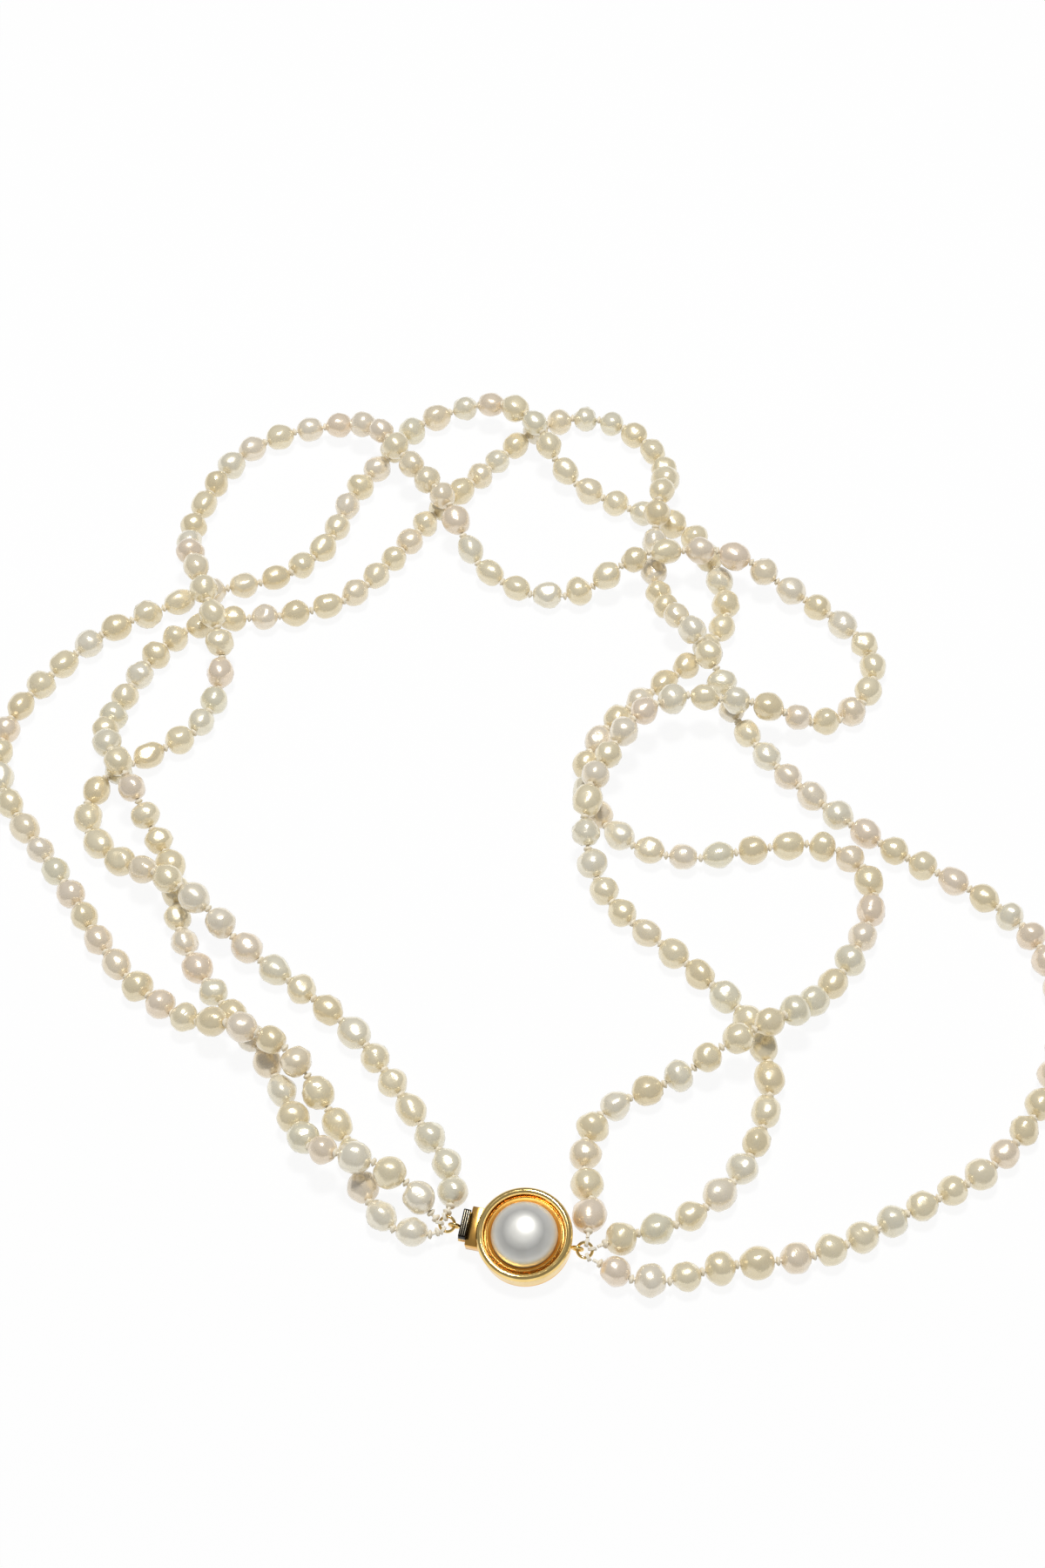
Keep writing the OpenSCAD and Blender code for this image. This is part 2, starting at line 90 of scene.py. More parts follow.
class Tree:
    """Adds nodes to one node tree and joins their sockets."""

    def __init__(self, tree: NodeTree) -> None:
        """Keeps the tree that the nodes go into."""
        self.tree = tree

    def feed(self, socket: NodeSocket, value: object) -> None:
        """Links a socket to an output, or sets its constant."""
        if isinstance(value, NodeSocket):
            self.tree.links.new(value, socket)
        else:
            socket.default_value = value

    def add(self, kind: str, inputs: dict | None = None, **settings: object) -> Node:
        """Adds one node.

        Args:
            kind: the node's Blender type name.
            inputs: socket name or index, with the output or the constant that feeds it.
            **settings: the node's own properties.

        Returns:
            The new node.
        """
        node = self.tree.nodes.new(kind)
        for name, value in settings.items():
            setattr(node, name, value)
        for key, value in (inputs or {}).items():
            self.feed(node.inputs[key], value)
        return node

    def math(self, operation: str, a: object, b: object = 0.0, c: object = 0.0) -> NodeSocket:
        """Adds a math node and gives its result."""
        return self.add("ShaderNodeMath", {0: a, 1: b, 2: c}, operation=operation).outputs[0]

    def vector(self, operation: str, a: object, b: object = (0, 0, 0)) -> NodeSocket:
        """Adds a vector math node and gives its result; for SCALE, b is the factor."""
        node = self.add("ShaderNodeVectorMath", {0: a}, operation=operation)
        self.feed(node.inputs["Scale" if operation == "SCALE" else 1], b)
        return next(o for o in node.outputs if o.enabled)

    def noise(self, vector: object, scale: float, detail: float = 2.0) -> NodeSocket:
        """Adds a noise texture and gives its value, about 0.5 on average."""
        node = self.add("ShaderNodeTexNoise", {"Vector": vector, "Scale": scale, "Detail": detail})
        return node.outputs[0]

    def bump(self, height: NodeSocket, strength: float, distance: float) -> NodeSocket:
        """Adds a bump and gives its normal."""
        sockets = {"Height": height, "Strength": strength, "Distance": distance}
        return self.add("ShaderNodeBump", sockets).outputs[0]

    def attribute(self, name: str, output: str = "Fac") -> NodeSocket:
        """Reads one of the piece's own attributes in a material."""
        return self.add("ShaderNodeAttribute", attribute_name=name).outputs[output]

    def principled(self, **inputs: object) -> NodeSocket:
        """Adds the main shader; an input's underscores stand for the spaces of its socket's name."""
        sockets = {label.replace("_", " "): value for label, value in inputs.items()}
        return self.add("ShaderNodeBsdfPrincipled", sockets).outputs[0]

    def span(self, value: object, low: float, high: float, to_low: float, to_high: float) -> NodeSocket:
        """Maps a value from one range to another, clamped."""
        sockets = {"Value": value, "From Min": low, "From Max": high, "To Min": to_low, "To Max": to_high}
        return self.add("ShaderNodeMapRange", sockets).outputs[0]

    def mix(self, factor: object, a: object, b: object, blend: str = "MIX") -> NodeSocket:
        """Mixes two colours and gives the result."""
        node = self.add("ShaderNodeMix", data_type="RGBA", blend_type=blend)
        self.feed(node.inputs[0], factor)
        self.feed(node.inputs[6], a)
        self.feed(node.inputs[7], b)
        return node.outputs[2]

    def named(self, name: str, kind: str = "FLOAT") -> NodeSocket:
        """Reads a named attribute in a geometry tree."""
        node = self.add("GeometryNodeInputNamedAttribute", {"Name": name}, data_type=kind)
        return next(o for o in node.outputs if o.enabled)

    def store(self, geometry: object, name: str, value: object, kind: str) -> NodeSocket:
        """Stores a named point attribute in a geometry tree and gives the geometry."""
        node = self.add("GeometryNodeStoreNamedAttribute", data_type=kind, domain="POINT")
        self.feed(node.inputs["Geometry"], geometry)
        self.feed(node.inputs["Name"], name)
        self.feed(next(s for s in node.inputs if s.name == "Value" and s.enabled), value)
        return node.outputs[0]


class Group:
    """A node group with named sockets."""

    def __init__(self, name: str, kind: str, inputs: dict[str, str], outputs: dict[str, str]) -> None:
        """Makes the group.

        Args:
            name: the group's name.
            kind: "ShaderNodeTree" or "GeometryNodeTree".
            inputs: socket name and short type, such as "Vector".
            outputs: the same for the outputs.
        """
        self.tree = bpy.data.node_groups.new(name, kind)
        self.identifiers: dict[str, str] = {}
        for side, sockets in (("INPUT", inputs), ("OUTPUT", outputs)):
            for label, short in sockets.items():
                item = self.tree.interface.new_socket(label, in_out=side, socket_type=f"NodeSocket{short}")
                self.identifiers.setdefault(label, item.identifier)
        self.nodes = Tree(self.tree)
        self.entry = self.nodes.add("NodeGroupInput").outputs
        self.exit = self.nodes.add("NodeGroupOutput").inputs

    def finish(self, name: str, value: NodeSocket) -> None:
        """Feeds one of the group's outputs."""
        self.nodes.feed(self.exit[name], value)


def clouding_group() -> NodeTree:
    """Soft patches of tone: a mask from 0 to 1."""
    group = Group("clouding", "ShaderNodeTree", {"Vector": "Vector", "Scale": "Float"}, {"Mask": "Float"})
    nodes = group.nodes
    broad = nodes.add("ShaderNodeTexNoise", {"Vector": group.entry["Vector"], "Scale": group.entry["Scale"]})
    group.finish("Mask", nodes.span(broad.outputs[0], 0.35, 0.65, 0.0, 1.0))
    return group.tree


def fine_wear_group() -> NodeTree:
    """Fine rubbing marks: a mask from 0 to 1 and a small height."""
    sockets = {"Vector": "Vector", "Scale": "Float"}
    group = Group("fine_wear", "ShaderNodeTree", sockets, {"Mask": "Float", "Height": "Float"})
    nodes = group.nodes
    stretched = nodes.vector("MULTIPLY", group.entry["Vector"], (1.0, 0.25, 1.0))
    sockets = {"Vector": stretched, "Scale": group.entry["Scale"], "Detail": 5.0}
    marks = nodes.add("ShaderNodeTexNoise", sockets)
    group.finish("Mask", nodes.span(marks.outputs[0], 0.42, 0.66, 0.0, 1.0))
    group.finish("Height", marks.outputs[0])
    return group.tree


def twist_group() -> NodeTree:
    """Plies of a twisted thread, from the place along it and the direction round it."""
    sockets = {"Along": "Float", "Around": "Vector", "Plies": "Float", "Pitch": "Float"}
    group = Group("twist", "ShaderNodeTree", sockets, {"Height": "Float"})
    nodes = group.nodes
    axes = nodes.add("ShaderNodeSeparateXYZ", {0: group.entry["Around"]}).outputs
    angle = nodes.math("MULTIPLY", nodes.math("ARCTAN2", axes[1], axes[0]), group.entry["Plies"])
    turns = nodes.math("DIVIDE", group.entry["Along"], group.entry["Pitch"])
    wave = nodes.math("SINE", nodes.math("ADD", angle, nodes.math("MULTIPLY", turns, FULL_TURN)))
    group.finish("Height", nodes.math("ABSOLUTE", wave))
    return group.tree


# ---------------------------------------------------------------- finishes


class Finish:
    """A surface finish that builds one material."""

    name: str

    def material(self) -> Material:
        """Gives this finish's material, built once."""
        found = bpy.data.materials.get(self.name)
        if found:
            return found
        material = bpy.data.materials.new(self.name)
        material.use_nodes = True
        material.node_tree.nodes.clear()
        nodes = Tree(material.node_tree)
        surface = self.surface(nodes)
        nodes.add("ShaderNodeOutputMaterial", {"Surface": surface})
        return material

    def surface(self, nodes: Tree) -> NodeSocket:
        """Builds the shader and gives its output."""
        raise NotImplementedError


def group_node(nodes: Tree, name: str, build: Callable, inputs: dict) -> Node:
    """Adds a shared node group to a material, and builds the group the first time."""
    tree = bpy.data.node_groups.get(name) or build()
    node = nodes.add("ShaderNodeGroup", node_tree=tree)
    for key, value in inputs.items():
        nodes.feed(node.inputs[key], value)
    return node


def colour_ramp(nodes: Tree, factor: object, stops: Sequence[tuple[float, tuple]]) -> NodeSocket:
    """Adds a colour ramp.

    Args:
        nodes: the material's nodes.
        factor: what the ramp reads.
        stops: position and colour of each stop.

    Returns:
        The ramp's colour.
    """
    ramp = nodes.add("ShaderNodeValToRGB", {"Fac": factor})
    elements = ramp.color_ramp.elements
    while len(elements) < len(stops):
        elements.new(0.5)
    for element, (place, colour) in zip(elements, stops):
        element.position = place
        element.color = (*colour, 1.0)
    return ramp.outputs[0]


@dataclass(frozen=True)
class PearlFinish(Finish):
    """Lustrous freshwater nacre, with one tint for each pearl."""

    name: str = "pearl_nacre"
    stops: tuple = (
        (0.0, (0.90, 0.78, 0.53)),
        (0.25, (0.95, 0.85, 0.61)),
        (0.50, (0.96, 0.87, 0.65)),
        (0.68, (0.96, 0.82, 0.66)),
        (0.85, (0.97, 0.91, 0.76)),
        (1.0, (0.91, 0.86, 0.67)),
    )
    shade: tuple = (0.84, 0.76, 0.60, 1.0)
    patch_scale: float = 1.6
    growth_scale: float = 9.0

    def surface(self, nodes: Tree) -> NodeSocket:
        """Tints each pearl, clouds it, and lays a clear gloss over it."""
        tint = nodes.attribute("tint")
        seed = nodes.attribute("seed")
        local = nodes.attribute("local", "Vector")
        shifted = nodes.vector("ADD", local, nodes.vector("SCALE", (31.0, 17.0, 23.0), seed))
        clouds = group_node(nodes, "clouding", clouding_group, {"Vector": shifted, "Scale": self.patch_scale})
        body = colour_ramp(nodes, tint, self.stops)
        cloudy = nodes.mix(nodes.math("MULTIPLY", clouds.outputs[0], 0.25), body, self.shade, "MULTIPLY")
        rings = nodes.vector("MULTIPLY", shifted, (0.35, 0.35, 1.6))
        growth = nodes.noise(rings, self.growth_scale, 4.0)
        return nodes.principled(
            Base_Color=cloudy,
            Metallic=0.38,
            Roughness=nodes.span(clouds.outputs[0], 0.0, 1.0, 0.20, 0.32),
            Normal=nodes.bump(growth, 0.22, 0.0002),
            Specular_IOR_Level=0.7,
            Coat_Weight=0.8,
            Coat_Roughness=0.08,
        )


@dataclass(frozen=True)
class HalfPearlFinish(Finish):
    """Silver-white cultured half pearl, with a painted highlight at its centre, a painted dark reflection in
    a ring towards its rim, a painted bright reflection at the rim, and green-grey at its lower edge.
    """

    name: str = "half_pearl_nacre"
    # Painted light: brightest at the centre for a painted highlight, a dark ring towards the rim for a
    # painted reflection of the dark room, and bright again at the rim for a painted reflection of the table.
    centre: tuple = (0.95, 0.93, 0.88)
    painted_light_crown: tuple = (0.90, 0.89, 0.84)
    ring: tuple = (0.56, 0.555, 0.53)
    painted_reflection_shoulder: tuple = (0.74, 0.735, 0.70)
    lower_rim: tuple = (0.80, 0.84, 0.74)
    cloud: tuple = (0.62, 0.60, 0.54, 1.0)
    places: tuple = (0.0, 0.34, 0.62, 0.82, 1.0)

    def surface(self, nodes: Tree) -> NodeSocket:
        """Blends a painted highlight at the centre, a painted dark reflection ring, a painted bright
        reflection at the rim and the lower rim's tint, from the dome's own coordinates.
        """
        disc = nodes.attribute("local", "Vector")
        axes = nodes.add("ShaderNodeSeparateXYZ", {0: disc}).outputs
        across = nodes.vector("LENGTH", nodes.vector("MULTIPLY", disc, (1.0, 1.0, 0.0)))
        # painted highlight, painted dark reflection ring and painted bright rim reflection, from the centre
        # outwards
        painted_light_tones = (self.centre, self.painted_light_crown, self.ring, self.painted_reflection_shoulder, self.painted_light_crown)
        body = colour_ramp(nodes, across, tuple(zip(self.places, painted_light_tones)))
        low = nodes.span(axes[1], -0.55, -0.95, 0.0, 1.0)
        edge = nodes.span(across, 0.84, 0.95, 0.0, 1.0)
        colour = nodes.mix(nodes.math("MULTIPLY", low, edge), body, (*self.lower_rim, 1.0))
        clouds = group_node(nodes, "clouding", clouding_group, {"Vector": disc, "Scale": 3.0})
        amount = nodes.math("MULTIPLY", clouds.outputs[0], 0.14)
        return nodes.principled(
            Base_Color=nodes.mix(amount, colour, self.cloud, "MULTIPLY"),
            Metallic=0.30,
            Roughness=0.37,
            Normal=nodes.bump(nodes.noise(disc, 26.0, 3.0), 0.06, 0.0001),
            Coat_Weight=0.3,
            Coat_Roughness=0.24,
        )


@dataclass(frozen=True)
class MetalFinish(Finish):
    """Plated metal with rubbed streaks."""

    name: str
    bright: tuple
    deep: tuple
    roughness: float
    wear_scale: float = 900.0
    bump_strength: float = 0.02

    def surface(self, nodes: Tree) -> NodeSocket:
        """Streaks the plating and dulls it where it is rubbed."""
        place = nodes.add("ShaderNodeTexCoord").outputs["Object"]
        wear = group_node(nodes, "fine_wear", fine_wear_group, {"Vector": place, "Scale": self.wear_scale})
        patches = group_node(nodes, "clouding", clouding_group, {"Vector": place, "Scale": 420.0})
        bright, deep = (*self.bright, 1.0), (*self.deep, 1.0)
        toned = nodes.mix(nodes.math("MULTIPLY", patches.outputs[0], 0.22), bright, deep)
        colour = nodes.mix(nodes.math("MULTIPLY", wear.outputs["Mask"], 0.10), toned, deep)
        return nodes.principled(
            Base_Color=colour,
            Metallic=1.0,
            Roughness=nodes.span(wear.outputs["Mask"], 0.0, 1.0, self.roughness, self.roughness + 0.08),
            Normal=nodes.bump(wear.outputs["Height"], self.bump_strength, 0.00008),
        )


@dataclass(frozen=True)
class SilkFinish(Finish):
    """Cream twisted silk."""

    name: str = "twisted_silk"
    light: tuple = (0.98, 0.93, 0.80, 1.0)
    # Painted shade: the tone that the grooves between plies take.
    dark: tuple = (0.88, 0.80, 0.64, 1.0)
    plies: float = 1.5
    pitch: float = 0.9 * MM

    def surface(self, nodes: Tree) -> NodeSocket:
        """Paints shade into the grooves between plies, and raises the plies."""
        along = nodes.attribute("along")
        around = nodes.attribute("around", "Vector")
        sockets = {"Along": along, "Around": around, "Plies": self.plies, "Pitch": self.pitch}
        twist = group_node(nodes, "twist", twist_group, sockets)
        place = nodes.add("ShaderNodeTexCoord").outputs["Object"]
        fuzz = nodes.noise(place, 4000.0, 3.0)
        ply = nodes.math("MULTIPLY_ADD", fuzz, 0.5, twist.outputs[0])
        # painted shade in the grooves between plies, darker where the plies sink
        colour = nodes.mix(nodes.span(ply, 0.2, 1.2, 0.0, 1.0), self.dark, self.light)
        return nodes.principled(
            Base_Color=colour,
            Roughness=0.62,
            Normal=nodes.bump(ply, 0.5, 0.0001),
            Sheen_Weight=0.4,
            Sheen_Roughness=0.4,
        )


@dataclass(frozen=True)
class TableFinish(Finish):
    """White table top that keeps the necklace's soft shadow."""

    name: str = "white_table"
    seen_white: float = 0.92

    def surface(self, nodes: Tree) -> NodeSocket:
        """Mixes white light into the table where it is seen directly, in gloss or through glass."""
        path = nodes.add("ShaderNodeLightPath").outputs
        direct = nodes.math("MAXIMUM", path["Is Camera Ray"], path["Is Glossy Ray"])
        seen = nodes.math("MAXIMUM", direct, path["Is Transmission Ray"])
        place = nodes.add("ShaderNodeTexCoord").outputs["Object"]
        grain = nodes.span(nodes.noise(place, 30.0, 3.0), 0.3, 0.7, 0.93, 0.95)
        tone = nodes.add("ShaderNodeCombineColor", {0: grain, 1: grain, 2: grain}).outputs[0]
        diffuse = nodes.add("ShaderNodeBsdfDiffuse", {"Color": tone, "Roughness": 0.5}).outputs[0]
        glow = nodes.add("ShaderNodeEmission", {"Color": (1.0, 1.0, 1.0, 1.0), "Strength": 1.0}).outputs[0]
        factor = nodes.math("MULTIPLY", seen, self.seen_white)
        return nodes.add("ShaderNodeMixShader", {0: factor, 1: diffuse, 2: glow}).outputs[0]


PEARL = PearlFinish()
HALF_PEARL = HalfPearlFinish()
SILK = SilkFinish()
TABLE = TableFinish()
POLISHED = MetalFinish("polished_gold_plate", (0.95, 0.70, 0.28), (0.62, 0.36, 0.09), 0.10)
SATIN = MetalFinish("satin_gold_plate", (0.92, 0.56, 0.17), (0.56, 0.26, 0.05), 0.20, 700.0, 0.05)
AMBER = MetalFinish("amber_gold_plate", (0.88, 0.50, 0.13), (0.50, 0.22, 0.03), 0.16)
DARK = MetalFinish("dark_thumb_metal", (0.014, 0.012, 0.010), (0.006, 0.005, 0.004), 0.50)
PALE_LINE = MetalFinish("pale_groove_metal", (0.82, 0.74, 0.55), (0.52, 0.43, 0.27), 0.30)


# ---------------------------------------------------------------- mesh helpers


def mesh_object(name: str, bm: BMesh, finish: Finish | None, sharp: float = 35.0) -> Object:
    """Turns a bmesh into a linked, smooth-shaded object.

    Args:
        name: the object's name.
        bm: the mesh, freed here.
        finish: its finish, if it has one.
        sharp: edges bent more than this many degrees stay sharp.

    Returns:
        The new object.
    """
    bmesh.ops.recalc_face_normals(bm, faces=bm.faces)
    mesh = bpy.data.meshes.new(name)
    bm.to_mesh(mesh)
    bm.free()
    mesh.shade_smooth()
    mesh.set_sharp_from_angle(angle=math.radians(sharp))
    piece = bpy.data.objects.new(name, mesh)
    if finish:
        mesh.materials.append(finish.material())
    bpy.context.scene.collection.objects.link(piece)
    return piece


def ring_faces(bm: BMesh, rings: list[list], closed: bool) -> None:
    """Joins rings of vertices with faces; a ring of one vertex closes to a point."""
    pairs = list(zip(rings, rings[1:]))
    if closed:
        pairs.append((rings[-1], rings[0]))
    for first, second in pairs:
        count = max(len(first), len(second))
        for k in range(count):
            corners = [
                first[k % len(first)],
                first[(k + 1) % len(first)],
                second[(k + 1) % len(second)],
                second[k % len(second)],
            ]
            bm.faces.new(list(dict.fromkeys(corners)))


def round_steps(count: int) -> list[tuple[float, float]]:
    """Gives the cosine and sine of equal steps round a circle."""
    return [(math.cos(FULL_TURN * k / count), math.sin(FULL_TURN * k / count)) for k in range(count)]


def lathe(profile: Sequence[tuple[float, float]], segments: int, place: Matrix, closed: bool) -> BMesh:
    """Spins a profile of (radius, height) points round Z.

    Args:
        profile: the points; a radius of zero gives one vertex.
        segments: faces round the axis.
        place: where the result goes.
        closed: whether the profile's last point joins its first.

    Returns:
        The spun mesh.
    """
    bm = bmesh.new()
    rings = []
    for radius, height in profile:
        if radius <= 0:
            rings.append([bm.verts.new(place @ Vector((0, 0, height)))])
            continue
        spots = [Vector((radius * c, radius * s, height)) for c, s in round_steps(segments)]
        rings.append([bm.verts.new(place @ spot) for spot in spots])
    ring_faces(bm, rings, closed)
    return bm


def softened(profile: Sequence[tuple[float, float]], rounds: int, share: float) -> list[tuple[float, float]]:
    """Cuts the corners of a closed profile, each round by a share of its sides."""
    points = [np.array(p, float) for p in profile]
    for _ in range(rounds):
        cut = []
        for a, b in zip(points, points[1:] + points[:1]):
            cut += [a + (b - a) * share, b - (b - a) * share]
        points = cut
    return [(float(p[0]), float(p[1])) for p in points]


def box_mesh(low: Vector, high: Vector, place: Matrix, bevel: float) -> BMesh:
    """Makes a box between two corners with rounded edges."""
    bm = bmesh.new()
    bmesh.ops.create_cube(bm, size=1.0)
    size, middle = high - low, (high + low) / 2
    for vertex in bm.verts:
        vertex.co = Vector(middle[i] + vertex.co[i] * size[i] for i in range(3))
    bmesh.ops.bevel(bm, geom=bm.edges[:], offset=bevel, segments=3, profile=0.5, affect="EDGES")
    bm.transform(place)
    return bm


def wire_mesh(path: Sequence[Vector], radius: float, sides: int, closed: bool) -> BMesh:
    """Sweeps a round wire along a flat or gently turning path.

    Args:
        path: the wire's centre line.
        radius: the wire's radius.
        sides: faces round the wire.
        closed: whether the path runs back into its start.

    Returns:
        The wire's mesh, with capped ends if it is open.
    """
    bm = bmesh.new()
    rings, count, up = [], len(path), None
    for i, point in enumerate(path):
        ahead = path[(i + 1) % count] if closed or i + 1 < count else point
        behind = path[i - 1] if closed or i > 0 else point
        heading = (ahead - behind).normalized()
        up = heading.orthogonal() if up is None else up - heading * up.dot(heading)
        up = up.normalized()
        side = heading.cross(up)
        rings.append([bm.verts.new(point + radius * (up * c + side * s)) for c, s in round_steps(sides)])
    ring_faces(bm, rings, closed)
    if not closed:
        bm.faces.new(rings[0])
        bm.faces.new(rings[-1])
    return bm


def with_local(piece: Object, local: Callable[[Vector], Vector]) -> Object:
    """Stores each vertex's own coordinates as the attribute "local"."""
    values = np.array([local(v.co) for v in piece.data.vertices], np.float32)
    attribute = piece.data.attributes.new("local", "FLOAT_VECTOR", "POINT")
    attribute.data.foreach_set("vector", values.ravel())
    return piece


def baked(source: Object, name: str) -> Object:
    """Gives the evaluated mesh of an object as a plain object, and removes the source."""
    graph = bpy.context.evaluated_depsgraph_get()
    graph.update()
    shape = source.evaluated_get(graph)
    mesh = bpy.data.meshes.new_from_object(shape, preserve_all_data_layers=True, depsgraph=graph)
    mesh.name = name
    piece = bpy.data.objects.new(name, mesh)
    bpy.context.scene.collection.objects.link(piece)
    bpy.data.objects.remove(source)
    return piece


def with_modifier(source: Object, group: Group, values: dict) -> None:
    """Puts a Geometry Nodes modifier on an object and sets its inputs by identifier."""
    modifier = source.modifiers.new(group.tree.name, "NODES")
    modifier.node_group = group.tree
    for label, value in values.items():
        modifier[group.identifiers[label]] = value


# ---------------------------------------------------------------- strands


@dataclass
class Drilled:
    """One pearl as measured on its CAD solid."""

    centre: Vector
    axis: Vector
    length: float
    thickness: float


@dataclass
class Thread:
    """One stretch of silk: its centre line through the knots, and the pearls on it."""

    path: list[Vector]
    pearls: list[Drilled] = field(default_factory=list)

    @property
    def length(self) -> float:
        """The centre line's length."""
        return sum((b - a).length for a, b in zip(self.path, self.path[1:]))

    def gap(self, other: "Thread") -> float:
        """Gives the least distance between the ends of two threads."""
        ends = (other.path[0], other.path[-1])
        return min((a - b).length for a in (self.path[0], self.path[-1]) for b in ends)

    def nearest(self, point: Vector) -> tuple[float, Vector, Vector]:
        """Gives the distance to the closest straight run, the run's start and its direction."""
        best = (math.inf, Vector(), Vector())
        for a, b in zip(self.path, self.path[1:]):
            heading = (b - a).normalized()
            reach = min(max((point - a).dot(heading), 0.0), (b - a).length)
            distance = (point - a - heading * reach).length
            if distance < best[0]:
                best = (distance, a, heading)
        return best


@dataclass(frozen=True)
class Tie:
    """A loop of silk round a jump ring's wire."""

    centre: Vector
    axis: Vector


@dataclass(frozen=True)
class OddPearl:
    """A pearl with a blemish of its own, by its place on the table."""

    x: float
    y: float
    trait: str
    amount: float


ODD_PEARLS = (
    OddPearl(-61.3, 40.7, "wrinkle", 0.16),
    OddPearl(26.4, 64.2, "wrinkle", 0.16),
    OddPearl(12.1, 92.0, "wrinkle", 0.16),
    OddPearl(-58.1, 6.5, "flat", 1.0),
    OddPearl(-42.0, 39.4, "flat", 1.0),
    OddPearl(5.0, 45.0, "flat", 1.0),
    OddPearl(-63.8, 23.7, "rib", 0.12),
    OddPearl(36.6, -70.4, "nodule", 0.14),
)
TRAITS = ("wrinkle", "flat", "rib", "nodule")


def loose_parts(node: str) -> list[tuple[np.ndarray, list[tuple[int, int]]]]:
    """Splits a CAD node into its solids.

    Args:
        node: the CAD node's name.

    Returns:
        For each solid, its vertices and its edges as index pairs.
    """
    bm = bmesh.new()
    bm.from_mesh(frame["nodes"][node].data)
    bmesh.ops.remove_doubles(bm, verts=bm.verts, dist=MERGE_DISTANCE)
    bm.verts.index_update()
    bm.edges.index_update()
    seen: set[int] = set()
    parts = []
    for start in bm.verts:
        if start.index in seen:
            continue
        seen.add(start.index)
        stack, members = [start], []
        while stack:
            vertex = stack.pop()
            members.append(vertex)
            for edge in vertex.link_edges:
                other = edge.other_vert(vertex)
                if other.index not in seen:
                    seen.add(other.index)
                    stack.append(other)
        order = {vertex.index: i for i, vertex in enumerate(members)}
        own = {edge.index: edge.verts for vertex in members for edge in vertex.link_edges}
        edges = [(order[a.index], order[b.index]) for a, b in own.values()]
        parts.append((np.array([v.co for v in members]), edges))
    bm.free()
    return parts


class StrandReader:
    """Measures silk and pearls on the CAD nodes of one strand on one body."""

    ring_reach = 0.7 * MM
    loop_size = 2.6 * MM
    pair_size = 9.5 * MM

    def __init__(self, body: str, stem: str) -> None:
        """Reads the nodes <stem>_silk and <stem>_pearls of a body."""
        self.body, self.stem = body, stem
        self.threads: list[Thread] = []
        self.ties: list[Tie] = []
        for points, edges in loose_parts(f"{stem}_silk"):
            if np.ptp(points, axis=0).max() < self.loop_size:
                self.ties.append(self.tie_of(points))
            else:
                self.threads.append(Thread(self.centre_line(points, edges)))
        for points, _ in loose_parts(f"{stem}_pearls"):
            for pearl in self.split(points):
                self.place_pearl(pearl)

    def tie_of(self, points: np.ndarray) -> Tie:
        """Gives a silk loop's centre and the direction of its axis."""
        centre = points.mean(axis=0)
        axis = np.linalg.svd(points - centre, full_matrices=False)[2][2]
        return Tie(Vector(centre), Vector(axis))

    def centre_line(self, points: np.ndarray, edges: list[tuple[int, int]]) -> list[Vector]:
        """Groups a tube's vertices into its rings and walks from ring to ring."""
        owner = np.full(len(points), -1)
        centres: list[np.ndarray] = []
        for i in range(len(points)):
            if owner[i] < 0:
                near = (owner < 0) & (np.linalg.norm(points - points[i], axis=1) < self.ring_reach)
                owner[near] = len(centres)
                centres.append(points[near].mean(axis=0))
        links: dict[int, set[int]] = {k: set() for k in range(len(centres))}
        for a, b in edges:
            if owner[a] != owner[b]:
                links[owner[a]].add(owner[b])
                links[owner[b]].add(owner[a])
        walk = [min(k for k, others in links.items() if len(others) == 1)]
        while True:
            onward = [k for k in links[walk[-1]] if k not in walk]
            if not onward:
                return [Vector(centres[k]) for k in walk]
            walk.append(onward[0])

    def split(self, points: np.ndarray) -> list[np.ndarray]:
        """Splits a solid that holds two touching pearls by the silk's runs; gives any other back whole."""
        if np.linalg.norm(np.ptp(points, axis=0)) < self.pair_size:
            return [points]
        shares: dict[tuple, list] = {}
        for point in points:
            thread = min(self.threads, key=lambda t: t.nearest(Vector(point))[0])
            shares.setdefault(tuple(thread.nearest(Vector(point))[1]), []).append(point)
        return [np.array(share) for share in shares.values() if len(share) > len(points) / 5]

    def place_pearl(self, points: np.ndarray) -> None:
        """Measures one pearl along the silk that runs through it."""
        middle = Vector((points.min(axis=0) + points.max(axis=0)) / 2)
        thread = min(self.threads, key=lambda t: t.nearest(middle)[0])
        _, start, axis = thread.nearest(middle)
        reach = (points - np.array(start)) @ np.array(axis)
        across = points - np.array(start) - np.outer(reach, np.array(axis))
        centre = start + axis * float(reach.min() + reach.max()) / 2
        thickness = 2 * float(np.linalg.norm(across, axis=1).max())
        thread.pearls.append(Drilled(centre, axis, float(np.ptp(reach)), thickness))


def point_cloud(name: str, points: Sequence[Vector], edges: Sequence, values: dict) -> Object:
    """Makes an object of bare points, with attributes for a Geometry Nodes tree.

    Args:
        name: the object's name.
        points: the points.
        edges: pairs of points that are joined.
        values: attribute name, with its type and one value for each point.

    Returns:
        The linked object.
    """
    mesh = bpy.data.meshes.new(name)
    mesh.from_pydata([tuple(p) for p in points], list(edges), [])
    fields = {"FLOAT": "value", "FLOAT_VECTOR": "vector", "QUATERNION": "value"}
    for label, (kind, data) in values.items():
        attribute = mesh.attributes.new(label, kind, "POINT")
        attribute.data.foreach_set(fields[kind], np.array(data, np.float32).ravel())
    source = bpy.data.objects.new(name, mesh)
    bpy.context.scene.collection.objects.link(source)
    return source


